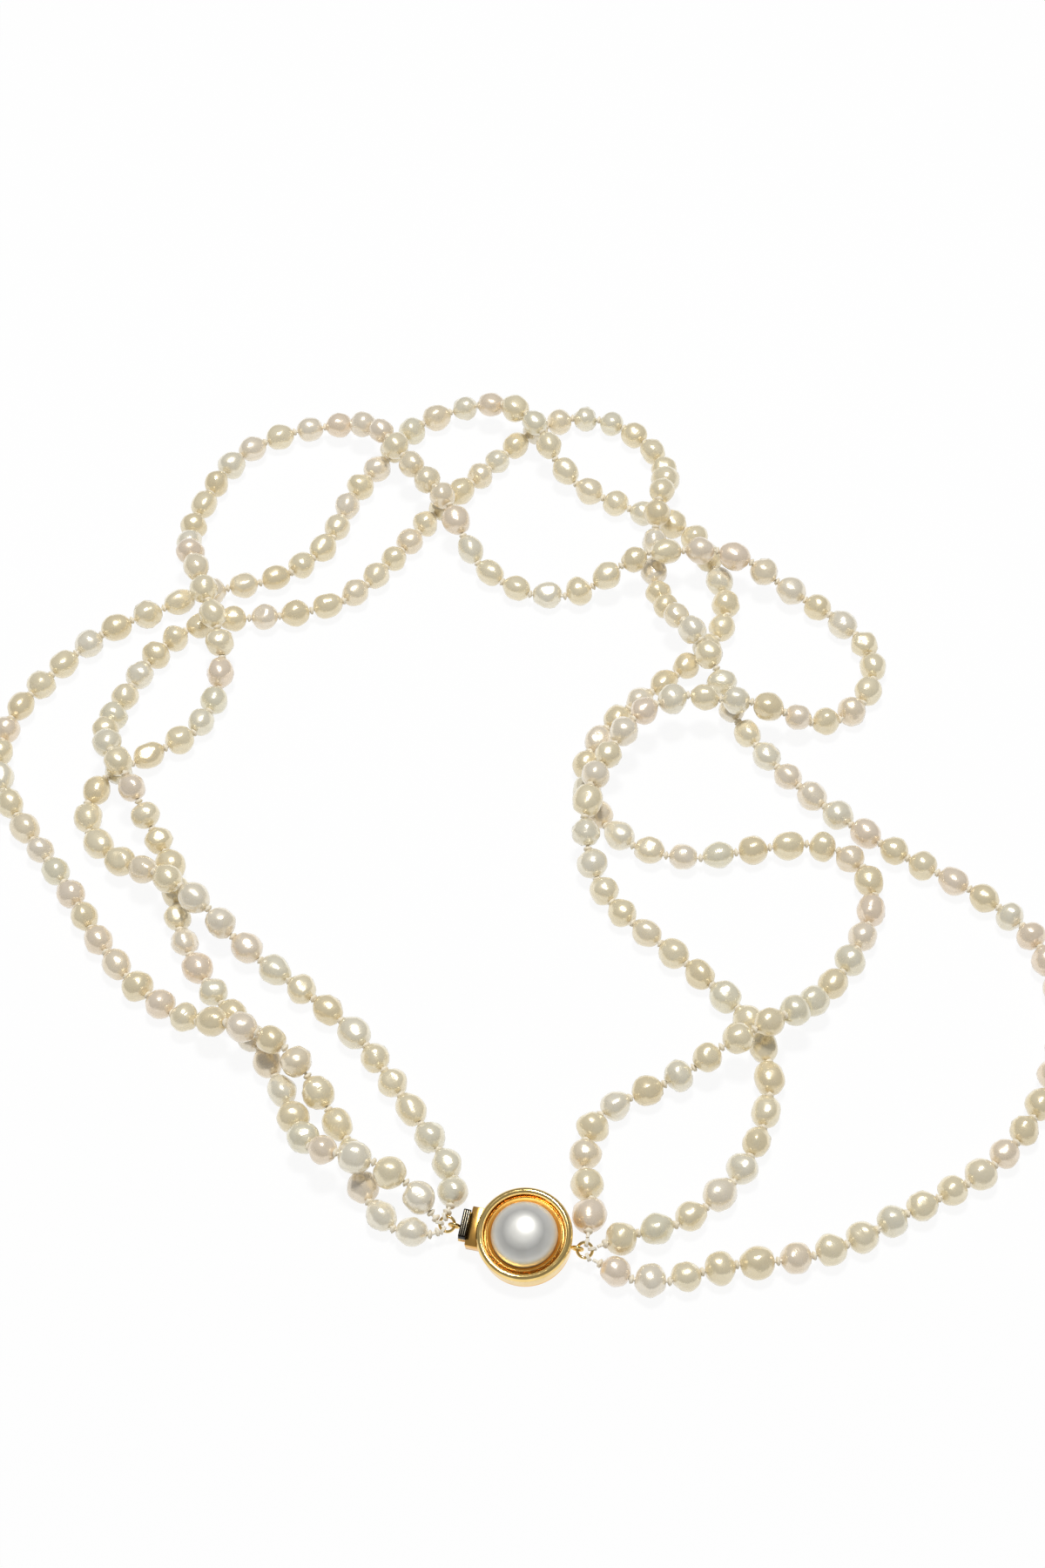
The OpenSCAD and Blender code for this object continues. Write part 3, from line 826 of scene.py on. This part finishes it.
class PearlMaker:
    """Grows every pearl of a stretch from one base shape, with Geometry Nodes."""

    segments = 26
    rows = 18
    power = 2.0
    mouth = 0.22
    mouth_depth = 0.05
    girth_shares = (0.98, 1.05)
    length_shares = (0.955, 0.995)
    wrinkled_share = 0.16
    flat_share = 0.14
    flat_level = 0.86
    part_flat = 0.6
    deep_wrinkle = 0.11
    fine_wrinkles = (0.02, 0.06)
    odd_reach = 2.2 * MM
    top_spread = 0.3
    top_lean = -0.35
    broad_scale, broad_level = 0.9, 0.56
    crease_scale, crease_level, crease_gain = 2.8, 0.62, 2.0
    groove_at, groove_width = 0.25, 0.14
    knob_from = 0.90
    lump = 0.30
    seed = 20

    def __init__(self) -> None:
        """Makes the base pearl, the node tree and the seeded generator."""
        self.base = self.base_pearl()
        self.group = self.pearl_group()
        self.random = np.random.default_rng(self.seed)

    def base_pearl(self) -> Object:
        """Makes a rounded pearl of radius 1 with a dimple at each end of its drill hole."""
        profile = []
        for k in range(self.rows + 1):
            angle = math.pi * k / self.rows
            radius = math.sin(angle) ** (2 / self.power) if 0 < k < self.rows else 0.0
            height = math.copysign(abs(math.cos(angle)) ** (2 / self.power), math.cos(angle))
            dip = self.mouth_depth * max(0.0, 1 - radius / self.mouth) ** 0.5
            profile.append((radius, height - math.copysign(dip, height)))
        piece = mesh_object("pearl_base", lathe(profile, self.segments, Matrix(), False), None, 180.0)
        return with_local(piece, lambda co: co)

    def pearl_group(self) -> Group:
        """Builds the tree: instances, then lumps, growth rings and blemishes along the normal."""
        sockets = {"Geometry": "Geometry", "Pearl": "Object", "Material": "Material", "Lump": "Float"}
        group = Group("pearl_growth", "GeometryNodeTree", sockets, {"Geometry": "Geometry"})
        nodes = group.nodes
        shape = nodes.add("GeometryNodeObjectInfo", {"Object": group.entry["Pearl"]}).outputs["Geometry"]
        instances = nodes.add(
            "GeometryNodeInstanceOnPoints",
            {
                "Points": group.entry["Geometry"],
                "Instance": shape,
                "Rotation": nodes.named("turn", "QUATERNION"),
                "Scale": nodes.named("size", "FLOAT_VECTOR"),
            },
        ).outputs[0]
        solid = nodes.add("GeometryNodeRealizeInstances", {"Geometry": instances}).outputs[0]
        offset = self.growth(nodes, group.entry["Lump"])
        moved = nodes.add("GeometryNodeSetPosition", {"Geometry": solid, "Offset": offset}).outputs[0]
        smooth = nodes.add("GeometryNodeSetShadeSmooth", {0: moved}).outputs[0]
        sockets = {"Geometry": smooth, "Material": group.entry["Material"]}
        group.finish("Geometry", nodes.add("GeometryNodeSetMaterial", sockets).outputs[0])
        return group

    def growth(self, nodes: Tree, lump: NodeSocket) -> NodeSocket:
        """Adds up every movement along the normal, in shares of the pearl's radius."""
        local, seed = nodes.named("local", "FLOAT_VECTOR"), nodes.named("seed")
        size = nodes.add("ShaderNodeSeparateXYZ", {0: nodes.named("size", "FLOAT_VECTOR")}).outputs[0]
        shifted = nodes.vector("ADD", local, nodes.vector("SCALE", (13.0, 29.0, 41.0), seed))
        axes = nodes.add("ShaderNodeSeparateXYZ", {0: local}).outputs
        lumps = nodes.math("SUBTRACT", nodes.noise(shifted, self.broad_scale, 1.0), self.broad_level)
        broad = nodes.math("MULTIPLY", lumps, lump)
        creases = nodes.math("SUBTRACT", nodes.noise(shifted, self.crease_scale, 3.0), self.crease_level)
        depth = nodes.math("MULTIPLY", nodes.named("wrinkle"), self.crease_gain)
        wrinkled = nodes.math("MULTIPLY", creases, depth)
        band = nodes.math("DIVIDE", nodes.math("SUBTRACT", axes[2], self.groove_at), self.groove_width)
        groove = nodes.math("EXPONENT", nodes.math("MULTIPLY", nodes.math("MULTIPLY", band, band), -1.0))
        grooved = nodes.math("MULTIPLY", groove, nodes.math("MULTIPLY", nodes.named("rib"), -1.0))
        upward = nodes.named("top", "FLOAT_VECTOR")
        height = nodes.vector("DOT_PRODUCT", local, upward)
        level = nodes.math("MAXIMUM", height, self.flat_level)
        to_plane = nodes.math("SUBTRACT", nodes.math("DIVIDE", self.flat_level, level), 1.0)
        flattened = nodes.math("MULTIPLY", to_plane, nodes.named("flat"))
        above = nodes.span(height, self.knob_from, 1.0, 0.0, 1.0)
        knob = nodes.math("MULTIPLY", above, nodes.named("nodule"))
        total = broad
        for part in (wrinkled, grooved, flattened, knob):
            total = nodes.math("ADD", total, part)
        normal = nodes.add("GeometryNodeInputNormal").outputs[0]
        return nodes.vector("SCALE", normal, nodes.math("MULTIPLY", total, size))

    def traits_of(self, pearl: Drilled) -> dict[str, float]:
        """Gives the blemishes of the pearl that stands at an odd pearl's place."""
        traits = dict.fromkeys(TRAITS, 0.0)
        wrinkled = self.random.random() < self.wrinkled_share
        traits["wrinkle"] = self.deep_wrinkle if wrinkled else self.random.uniform(*self.fine_wrinkles)
        traits["flat"] = self.part_flat if self.random.random() < self.flat_share else 0.0
        for odd in ODD_PEARLS:
            if math.hypot(pearl.centre.x - odd.x * MM, pearl.centre.y - odd.y * MM) < self.odd_reach:
                traits[odd.trait] = odd.amount
        return traits

    def make(self, name: str, pearls: Sequence[Drilled]) -> Object:
        """Makes one object with all pearls of a stretch.

        Args:
            name: the piece's name.
            pearls: the stretch's pearls.

        Returns:
            The plain mesh piece.
        """
        turns, sizes, tops = [], [], []
        traits = [self.traits_of(pearl) for pearl in pearls]
        for pearl in pearls:
            spin = Quaternion((0, 0, 1), self.random.uniform(0, FULL_TURN))
            turn = pearl.axis.to_track_quat("Z", "Y") @ spin
            turns.append(tuple(turn))
            wide, deep = (pearl.thickness / 2 * self.random.uniform(*self.girth_shares) for _ in range(2))
            sizes.append((wide, deep, pearl.length / 2 * self.random.uniform(*self.length_shares)))
            lean = self.random.uniform(-self.top_spread, self.top_spread)
            up = Vector((lean, self.top_lean, 1.0)).normalized()
            tops.append(tuple(turn.inverted() @ up))
        count = len(pearls)
        values = {
            "turn": ("QUATERNION", turns),
            "size": ("FLOAT_VECTOR", sizes),
            "top": ("FLOAT_VECTOR", tops),
            "seed": ("FLOAT", list(self.random.uniform(0, 1, count))),
            "tint": ("FLOAT", list(self.random.uniform(0, 1, count))),
        }
        for trait in TRAITS:
            values[trait] = ("FLOAT", [found[trait] for found in traits])
        source = point_cloud(f"{name}.points", [p.centre for p in pearls], [], values)
        inputs = {"Pearl": self.base, "Material": PEARL.material(), "Lump": self.lump}
        with_modifier(source, self.group, inputs)
        return baked(source, name)


class SilkMaker:
    """Spins every silk thread and its knots along a path, with Geometry Nodes."""

    sides = 8
    knot_rows = 8
    knot_segments = 14
    knot_girth = 0.68 * MM
    knot_length = 0.36 * MM

    def __init__(self) -> None:
        """Makes the base knot and the node tree."""
        self.knot = self.base_knot()
        self.group = self.silk_group()

    def base_knot(self) -> Object:
        """Makes an overhand knot's round body, with the lay of its turns."""
        profile = []
        for k in range(self.knot_rows + 1):
            angle = math.pi * k / self.knot_rows
            radius = self.knot_girth * math.sin(angle) if 0 < k < self.knot_rows else 0.0
            profile.append((radius, math.cos(angle)))
        bm = lathe(profile, self.knot_segments, Matrix(), False)
        for vertex in bm.verts:
            turn = math.atan2(vertex.co.y, vertex.co.x)
            swell = 1 + 0.10 * math.sin(3 * turn + 4 * vertex.co.z)
            vertex.co = Vector((vertex.co.x * swell, vertex.co.y * swell, vertex.co.z * self.knot_length))
        return mesh_object("knot_base", bm, None, 180.0)

    def silk_group(self) -> Group:
        """Builds the tree: a tube along the path with plies' coordinates, and knots on its marked points."""
        sockets = {"Geometry": "Geometry", "Knot": "Object", "Material": "Material", "Radius": "Float"}
        group = Group("silk_thread", "GeometryNodeTree", sockets, {"Geometry": "Geometry"})
        nodes = group.nodes
        line = nodes.add("GeometryNodeMeshToCurve", {0: group.entry["Geometry"]}).outputs[0]
        run = nodes.add("GeometryNodeSplineParameter").outputs["Length"]
        line = nodes.store(line, "along", run, "FLOAT")
        circle = nodes.add(
            "GeometryNodeCurvePrimitiveCircle", {"Resolution": self.sides, "Radius": group.entry["Radius"]}
        ).outputs[0]
        place = nodes.add("GeometryNodeInputPosition").outputs[0]
        circle = nodes.store(circle, "around", nodes.vector("NORMALIZE", place), "FLOAT_VECTOR")
        sockets = {"Curve": line, "Profile Curve": circle, "Fill Caps": True}
        tube = nodes.add("GeometryNodeCurveToMesh", sockets).outputs[0]
        shape = nodes.add("GeometryNodeObjectInfo", {"Object": group.entry["Knot"]}).outputs["Geometry"]
        knots = nodes.add(
            "GeometryNodeInstanceOnPoints",
            {
                "Points": group.entry["Geometry"],
                "Selection": nodes.math("GREATER_THAN", nodes.named("knot"), 0.5),
                "Instance": shape,
                "Rotation": nodes.named("turn", "QUATERNION"),
            },
        ).outputs[0]
        joined = nodes.add("GeometryNodeJoinGeometry")
        nodes.feed(joined.inputs[0], knots)
        nodes.feed(joined.inputs[0], tube)
        solid = nodes.add("GeometryNodeRealizeInstances", {"Geometry": joined.outputs[0]}).outputs[0]
        smooth = nodes.add("GeometryNodeSetShadeSmooth", {0: solid}).outputs[0]
        sockets = {"Geometry": smooth, "Material": group.entry["Material"]}
        group.finish("Geometry", nodes.add("GeometryNodeSetMaterial", sockets).outputs[0])
        return group

    def make(self, name: str, path: Sequence[Vector], radius: float, knotted: bool) -> Object:
        """Makes one thread.

        Args:
            name: the piece's name.
            path: its centre line.
            radius: the thread's radius.
            knotted: whether a knot stands on each point but the last.

        Returns:
            The plain mesh piece.
        """
        count = len(path)
        turns = []
        for i in range(count):
            heading = path[min(i + 1, count - 1)] - path[max(i - 1, 0)]
            turns.append(tuple(heading.to_track_quat("Z", "Y") @ Quaternion((0, 0, 1), 2.4 * i)))
        values = {
            "turn": ("QUATERNION", turns),
            "knot": ("FLOAT", [1.0 if knotted and i < count - 1 else 0.0 for i in range(count)]),
        }
        edges = [(i, i + 1) for i in range(count - 1)]
        source = point_cloud(f"{name}.points", path, edges, values)
        with_modifier(source, self.group, {"Knot": self.knot, "Material": SILK.material(), "Radius": radius})
        return baked(source, name)


@dataclass
class Strands:
    """Every stretch of the three strands, on the body that carries it."""

    pearl_maker: PearlMaker = field(default_factory=PearlMaker)
    silk_maker: SilkMaker = field(default_factory=SilkMaker)
    silk_diameter: float = 0.5 * MM
    cord_least: float = 0.03
    loop_radius: float = 0.50 * MM
    loop_thread: float = 0.17 * MM
    loop_turns: float = 2.0
    loop_width: float = 0.374 * MM
    loop_steps: int = 20
    cords: list[tuple] = field(default_factory=list)
    short: list[tuple] = field(default_factory=list)

    def build(self) -> None:
        """Builds every stretch, then gathers each short stretch under the nearest long one of its strand."""
        for body, nodes in frame["record"]["behaviour"]["bodies"].items():
            for node in nodes:
                if node.endswith("_silk"):
                    self.build_stretches(StrandReader(body, node.removesuffix("_silk")))
        for base in (self.pearl_maker.base, self.silk_maker.knot):
            bpy.data.objects.remove(base)
        self.declare()

    def build_stretches(self, reader: StrandReader) -> None:
        """Builds the silk, pearls and ties of one strand on one body."""
        strand = next(s for s in STRANDS if reader.stem.startswith(s))
        for i, thread in enumerate(reader.threads):
            name, radius = f"{reader.stem}_thread.{i}", self.silk_diameter / 2
            silk = self.silk_maker.make(name, thread.path, radius, True)
            pearls = self.pearl_maker.make(f"{reader.stem}_string.{i}", thread.pearls)
            adopt(silk, reader.body, f"{reader.stem}_silk")
            adopt(pearls, reader.body, f"{reader.stem}_pearls")
            entry = (strand, thread, silk, [pearls])
            (self.cords if thread.length >= self.cord_least else self.short).append(entry)
            log.info("%s: %d pearls on %.1f mm of silk", silk.name, len(thread.pearls), thread.length / MM)
        for i, tie in enumerate(reader.ties):
            piece = self.tied_loop(f"{reader.stem}_tie.{i}", tie)
            adopt(piece, reader.body, f"{reader.stem}_silk")

    def tied_loop(self, name: str, tie: Tie) -> Object:
        """Winds a thread twice round the ring's wire at a tie."""
        side = tie.axis.orthogonal().normalized()
        up = tie.axis.cross(side)
        count = int(self.loop_steps * self.loop_turns)
        path = []
        for k in range(count + 1):
            angle = FULL_TURN * self.loop_turns * k / count
            shift = (k / count - 0.5) * self.loop_width
            outward = side * math.cos(angle) + up * math.sin(angle)
            path.append(tie.centre + self.loop_radius * outward + tie.axis * shift)
        return self.silk_maker.make(name, path, self.loop_thread, False)

    def declare(self) -> None:
        """Gathers each stretch under 30 mm, with its pearls, under the nearest stretch of 30 mm or more on
        its strand.
        """
        extras: dict[int, list] = {i: [] for i in range(len(self.cords))}
        for strand, thread, silk, pieces in self.short:
            own = [i for i, entry in enumerate(self.cords) if entry[0] == strand]
            nearest = min(own, key=lambda i: self.cords[i][1].gap(thread))
            extras[nearest] += [silk, *pieces]
        for i, (_, thread, silk, pieces) in enumerate(self.cords):
            thread.length


# ---------------------------------------------------------------- clasp


def turned(degrees: float, axis: str) -> Matrix:
    """Gives a turn about an axis."""
    return Matrix.Rotation(math.radians(degrees), 4, axis)


@dataclass(frozen=True)
class ClaspFrame:
    """The box clasp's own axes: U across the clasp, W up out of its deck."""

    yaw: float = -13.0
    tilt: float = 18.0
    back_t: float = 0.5 * MM

    @property
    def turn(self) -> Matrix:
        """The clasp's turn."""
        return turned(self.yaw, "Z") @ turned(self.tilt, "X")

    @property
    def place(self) -> Matrix:
        """The clasp's place, from its back plate."""
        low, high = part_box("clasp_back_plate")
        up = self.turn @ Vector((0, 0, 1))
        return Matrix.Translation((low + high) / 2 - up * self.back_t / 2) @ self.turn


@dataclass
class BoxClasp:
    """The box, its half pearl in a bezel, the mouth, the tongue and the rings."""

    axes: ClaspFrame = field(default_factory=ClaspFrame)
    segments: int = 96
    deck_top: float = 3.0 * MM
    clasp_r: float = 7.0 * MM
    bead_w: float = 1.25 * MM
    bead_h: float = 1.3 * MM
    bead_foot: float = 0.35
    bead_overhang: float = 0.3 * MM
    bead_steps: int = 16
    dome_r: float = 4.85 * MM
    dome_h: float = 3.3 * MM
    dome_base: float = 0.4 * MM
    dome_rows: int = 24
    bezel_clear: float = 0.03 * MM
    bezel_w: float = 0.67 * MM
    bezel_h: float = 0.95 * MM
    lip_h: float = 0.1 * MM
    lip_w: float = 0.15 * MM
    wire_r: float = 0.225 * MM
    eye_r: float = 0.75 * MM
    ring_r: float = 1.1 * MM
    ring_lean: float = 20.0
    ring_seam: float = 2.0
    ring_steps: int = 48
    ring_u: tuple = (8.795 * MM, -11.645 * MM)
    eye_u: tuple = (7.695 * MM, -10.545 * MM)
    eye_w: tuple = (1.55 * MM, 1.05 * MM)
    mouth_face: float = 8.3 * MM
    mouth_w: float = 4.6 * MM
    mouth_h: float = 1.6 * MM
    mouth_floor: float = 0.75 * MM
    mouth_wall: float = 0.65 * MM
    collar_t: float = 0.35 * MM
    collar_inner: float = 6.15 * MM
    fold_u: float = -2.3 * MM
    fold_w: float = 1.2 * MM
    fold_r: float = 0.35 * MM
    leaf_rise: float = 5.5
    thumb_reach: float = 7.25 * MM
    thumb_len: float = 1.1 * MM
    thumb_w: float = 4.2 * MM
    thumb_h: float = 1.5 * MM
    thumb_grooves: int = 3
    line_sunk: float = 0.05 * MM
    line_proud: float = 0.011 * MM

    def build(self) -> None:
        """Builds each piece of the clasp and finishes the CAD nodes that stay."""
        self.place = self.axes.place
        self.bead()
        self.bezel()
        self.dome()
        self.collar()
        self.thumb_piece()
        self.rings()
        self.carried_nodes()

    def bead(self) -> None:
        """Spins the polished bead round the deck's edge."""
        half = self.bead_w / 2
        middle = self.clasp_r - half
        arc = [math.pi * k / self.bead_steps for k in range(self.bead_steps + 1)]
        profile = [(middle + half - self.bead_overhang, 0.0)]
        for angle in arc:
            rise = self.bead_h * (self.bead_foot + (1 - self.bead_foot) * math.sin(angle))
            profile.append((middle + half * math.cos(angle), rise))
        profile.append((middle - half, 0.0))
        raised = [(r, h + self.deck_top) for r, h in profile]
        piece = mesh_object("polished_bead", lathe(raised, self.segments, self.place, True), POLISHED, 50.0)
        adopt(piece, "clasp_box", "clasp_bead")

    def bezel(self) -> None:
        """Spins the funnel that holds the half pearl."""
        seat = self.dome_r + self.bezel_clear
        rim = seat + self.bezel_w
        profile = [
            (seat, 0.0),
            (seat, self.dome_base + self.lip_h),
            (rim - self.lip_w, self.bezel_h),
            (rim, self.bezel_h - self.lip_h),
            (rim, 0.0),
        ]
        raised = softened([(r, h + self.deck_top) for r, h in profile], 3, 0.12)
        piece = mesh_object("bezel_cup", lathe(raised, self.segments, self.place, True), AMBER, 50.0)
        adopt(piece, "clasp_box", "clasp_bezel")

    def dome(self) -> None:
        """Spins the half pearl and stores its own coordinates."""
        base = self.deck_top + self.dome_base
        profile = [(0.0, base)]
        for k in range(self.dome_rows + 1):
            angle = math.pi / 2 * k / self.dome_rows
            radius = self.dome_r * math.cos(angle) if k < self.dome_rows else 0.0
            profile.append((radius, base + self.dome_h * math.sin(angle)))
        piece = mesh_object("half_pearl", lathe(profile, self.segments, self.place, False), HALF_PEARL, 60.0)
        inverse = self.place.inverted()
        with_local(piece, lambda co: ((inverse @ co) - Vector((0, 0, base))) / self.dome_r)
        adopt(piece, "clasp_box", "mabe_dome")

    def collar(self) -> None:
        """Builds the mouth's rectangular collar with rounded edges."""
        half, wall = self.mouth_w / 2, self.mouth_wall
        low, high = self.mouth_floor, self.mouth_floor + self.mouth_h
        outer = (half + wall, low - self.collar_t, high + self.collar_t)
        bm = bmesh.new()
        loops = []
        for u in (-self.mouth_face, -self.collar_inner):
            for width, floor, top in (outer, (half, low, high)):
                corners = ((-width, floor), (width, floor), (width, top), (-width, top))
                loops.append([bm.verts.new(Vector((u, v, w))) for v, w in corners])
        for first, second in ((0, 1), (1, 3), (3, 2), (2, 0)):
            for k in range(4):
                onward = (k + 1) % 4
                bm.faces.new([loops[first][k], loops[first][onward], loops[second][onward], loops[second][k]])
        bmesh.ops.recalc_face_normals(bm, faces=bm.faces)
        bmesh.ops.bevel(bm, geom=bm.edges[:], offset=0.11 * MM, segments=3, profile=0.5, affect="EDGES")
        bm.transform(self.place)
        piece = mesh_object("mouth_collar_cast", bm, AMBER, 40.0)
        adopt(piece, "clasp_box", "mouth_collar")

    def thumb_piece(self) -> None:
        """Builds the dark thumb piece with its pale grooves."""
        leaf = Matrix.Translation((self.fold_u, 0, self.fold_w)) @ turned(self.leaf_rise, "Y")
        place = self.place @ leaf @ Matrix.Translation((-self.thumb_reach, 0, self.fold_r))
        half = self.thumb_w / 2
        low, high = Vector((0, -half, 0)), Vector((self.thumb_len, half, self.thumb_h))
        body = mesh_object("thumb_grip", box_mesh(low, high, place, 0.14 * MM), DARK, 40.0)
        adopt(body, "spring_leaf", "thumb_piece")
        pitch = self.thumb_len / (self.thumb_grooves + 0.5)
        lines = bmesh.new()
        for k in range(self.thumb_grooves):
            start = (k + 0.66) * pitch
            low = Vector((start, -half * 0.9, self.thumb_h - self.line_sunk))
            high = Vector((start + pitch * 0.2, half * 0.9, self.thumb_h + self.line_proud))
            bar = box_mesh(low, high, place, 0.02 * MM)
            mesh = bpy.data.meshes.new("bar")
            bar.to_mesh(mesh)
            bar.free()
            lines.from_mesh(mesh)
            bpy.data.meshes.remove(mesh)
        piece = mesh_object("thumb_grip_lines", lines, PALE_LINE, 40.0)
        adopt(piece, "spring_leaf", "thumb_piece")

    def wire_ring(self, name: str, u: float, w: float, turn: Matrix, radius: float, seam: float) -> Object:
        """Bends a wire into a ring.

        Args:
            name: the piece's name.
            u: the ring's place across the clasp.
            w: its height over the clasp's back.
            turn: the ring's turn from lying flat.
            radius: the radius of the wire's centre line.
            seam: degrees left open between the wire's ends; none for a soldered ring.

        Returns:
            The ring.
        """
        place = self.place @ Matrix.Translation((u, 0, w)) @ turn
        first = math.radians(seam / 2) - math.pi / 2
        span = FULL_TURN - math.radians(seam)
        steps = self.ring_steps if seam == 0 else self.ring_steps - 1
        path = []
        for k in range(self.ring_steps):
            angle = first + span * k / steps
            path.append(place @ Vector((radius * math.cos(angle), radius * math.sin(angle), 0)))
        return mesh_object(name, wire_mesh(path, self.wire_r, 14, seam == 0), POLISHED, 50.0)

    def rings(self) -> None:
        """Bends both jump rings and both eyes."""
        upright, lean = turned(90, "X"), turned(self.ring_lean, "X")
        names = (("right", "clasp_box", "ring_eye"), ("left", "root", "tongue_eye"))
        for (side, body, eye_node), ring_u, eye_u, w in zip(names, self.ring_u, self.eye_u, self.eye_w):
            eye = self.wire_ring(f"{side}_soldered_eye", eye_u, w, upright, self.eye_r, 0.0)
            adopt(eye, body, eye_node)
            ring = self.wire_ring(f"{side}_wire_ring", ring_u, w, lean, self.ring_r, self.ring_seam)
            adopt(ring, f"{side}_ring", f"{side}_jump_ring")

    def carried_nodes(self) -> None:
        """Gives the CAD nodes that stay their plating or nacre."""
        finishes = {
            "clasp_back_plate": SATIN,
            "clasp_side_wall": POLISHED,
            "clasp_deck": SATIN,
            "mabe_backing": HALF_PEARL,
            "tongue_lower_leaf": POLISHED,
            "tongue_spring_leaf": POLISHED,
        }
        for node, finish in finishes.items():
            materials = frame["nodes"][node].data.materials
            if not materials:
                materials.append(finish.material())
            for i in range(len(materials)):
                materials[i] = finish.material()
            log.info("%s keeps its CAD shape, finished in %s", node, finish.name)


# ---------------------------------------------------------------- studio


@dataclass
class Studio:
    """The white table, the overhead light and the camera."""

    camera_at: tuple = (0.002, -0.328, 0.368)
    camera_tilt: float = 42.0
    lens: float = 68.74
    sensor: float = 36.0
    table_half: float = 1.6
    key_at: tuple = (0.0, 0.05, 0.90)
    key_size: float = 0.15
    key_power: float = 5.8
    sky: tuple = (0.28, 0.28, 0.28, 1.0)

    def build(self) -> None:
        """Places the camera, the table and the light."""
        self.camera()
        self.table()
        self.light()
        bpy.context.scene.view_settings.view_transform = "Standard"

    def camera(self) -> None:
        """Places the camera in front of and above the necklace."""
        data = bpy.data.cameras.new("camera")
        data.lens, data.sensor_width = self.lens, self.sensor
        camera = bpy.data.objects.new("camera", data)
        camera.location = self.camera_at
        camera.rotation_euler = (math.radians(self.camera_tilt), 0, 0)
        bpy.context.scene.collection.objects.link(camera)
        bpy.context.scene.camera = camera

    def table(self) -> None:
        """Lays the table top at height zero."""
        bm = bmesh.new()
        bmesh.ops.create_grid(bm, x_segments=4, y_segments=4, size=self.table_half)
        piece = mesh_object("table_top", bm, TABLE)

    def light(self) -> None:
        """Hangs one softbox over the table, in a grey room."""
        lamp = bpy.data.lights.new("softbox", "AREA")
        lamp.energy, lamp.size = self.key_power, self.key_size
        softbox = bpy.data.objects.new("softbox", lamp)
        softbox.location = self.key_at
        bpy.context.scene.collection.objects.link(softbox)
        world = bpy.data.worlds.new("grey_room")
        world.use_nodes = True
        world.node_tree.nodes.clear()
        nodes = Tree(world.node_tree)
        seen = nodes.add("ShaderNodeLightPath").outputs["Is Camera Ray"]
        room = nodes.add("ShaderNodeBackground", {"Color": self.sky, "Strength": 1.0}).outputs[0]
        white = nodes.add("ShaderNodeBackground", {"Color": (1.0, 1.0, 1.0, 1.0), "Strength": 1.0}).outputs[0]
        mixed = nodes.add("ShaderNodeMixShader", {0: seen, 1: room, 2: white}).outputs[0]
        nodes.add("ShaderNodeOutputWorld", {"Surface": mixed})
        bpy.context.scene.world = world


def main() -> None:
    """Builds the scene."""
    logging.basicConfig(level=logging.INFO, format="%(name)s: %(message)s")
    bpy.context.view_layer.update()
    Studio().build()
    Strands().build()
    BoxClasp().build()


if __name__ == "__main__":
    main()
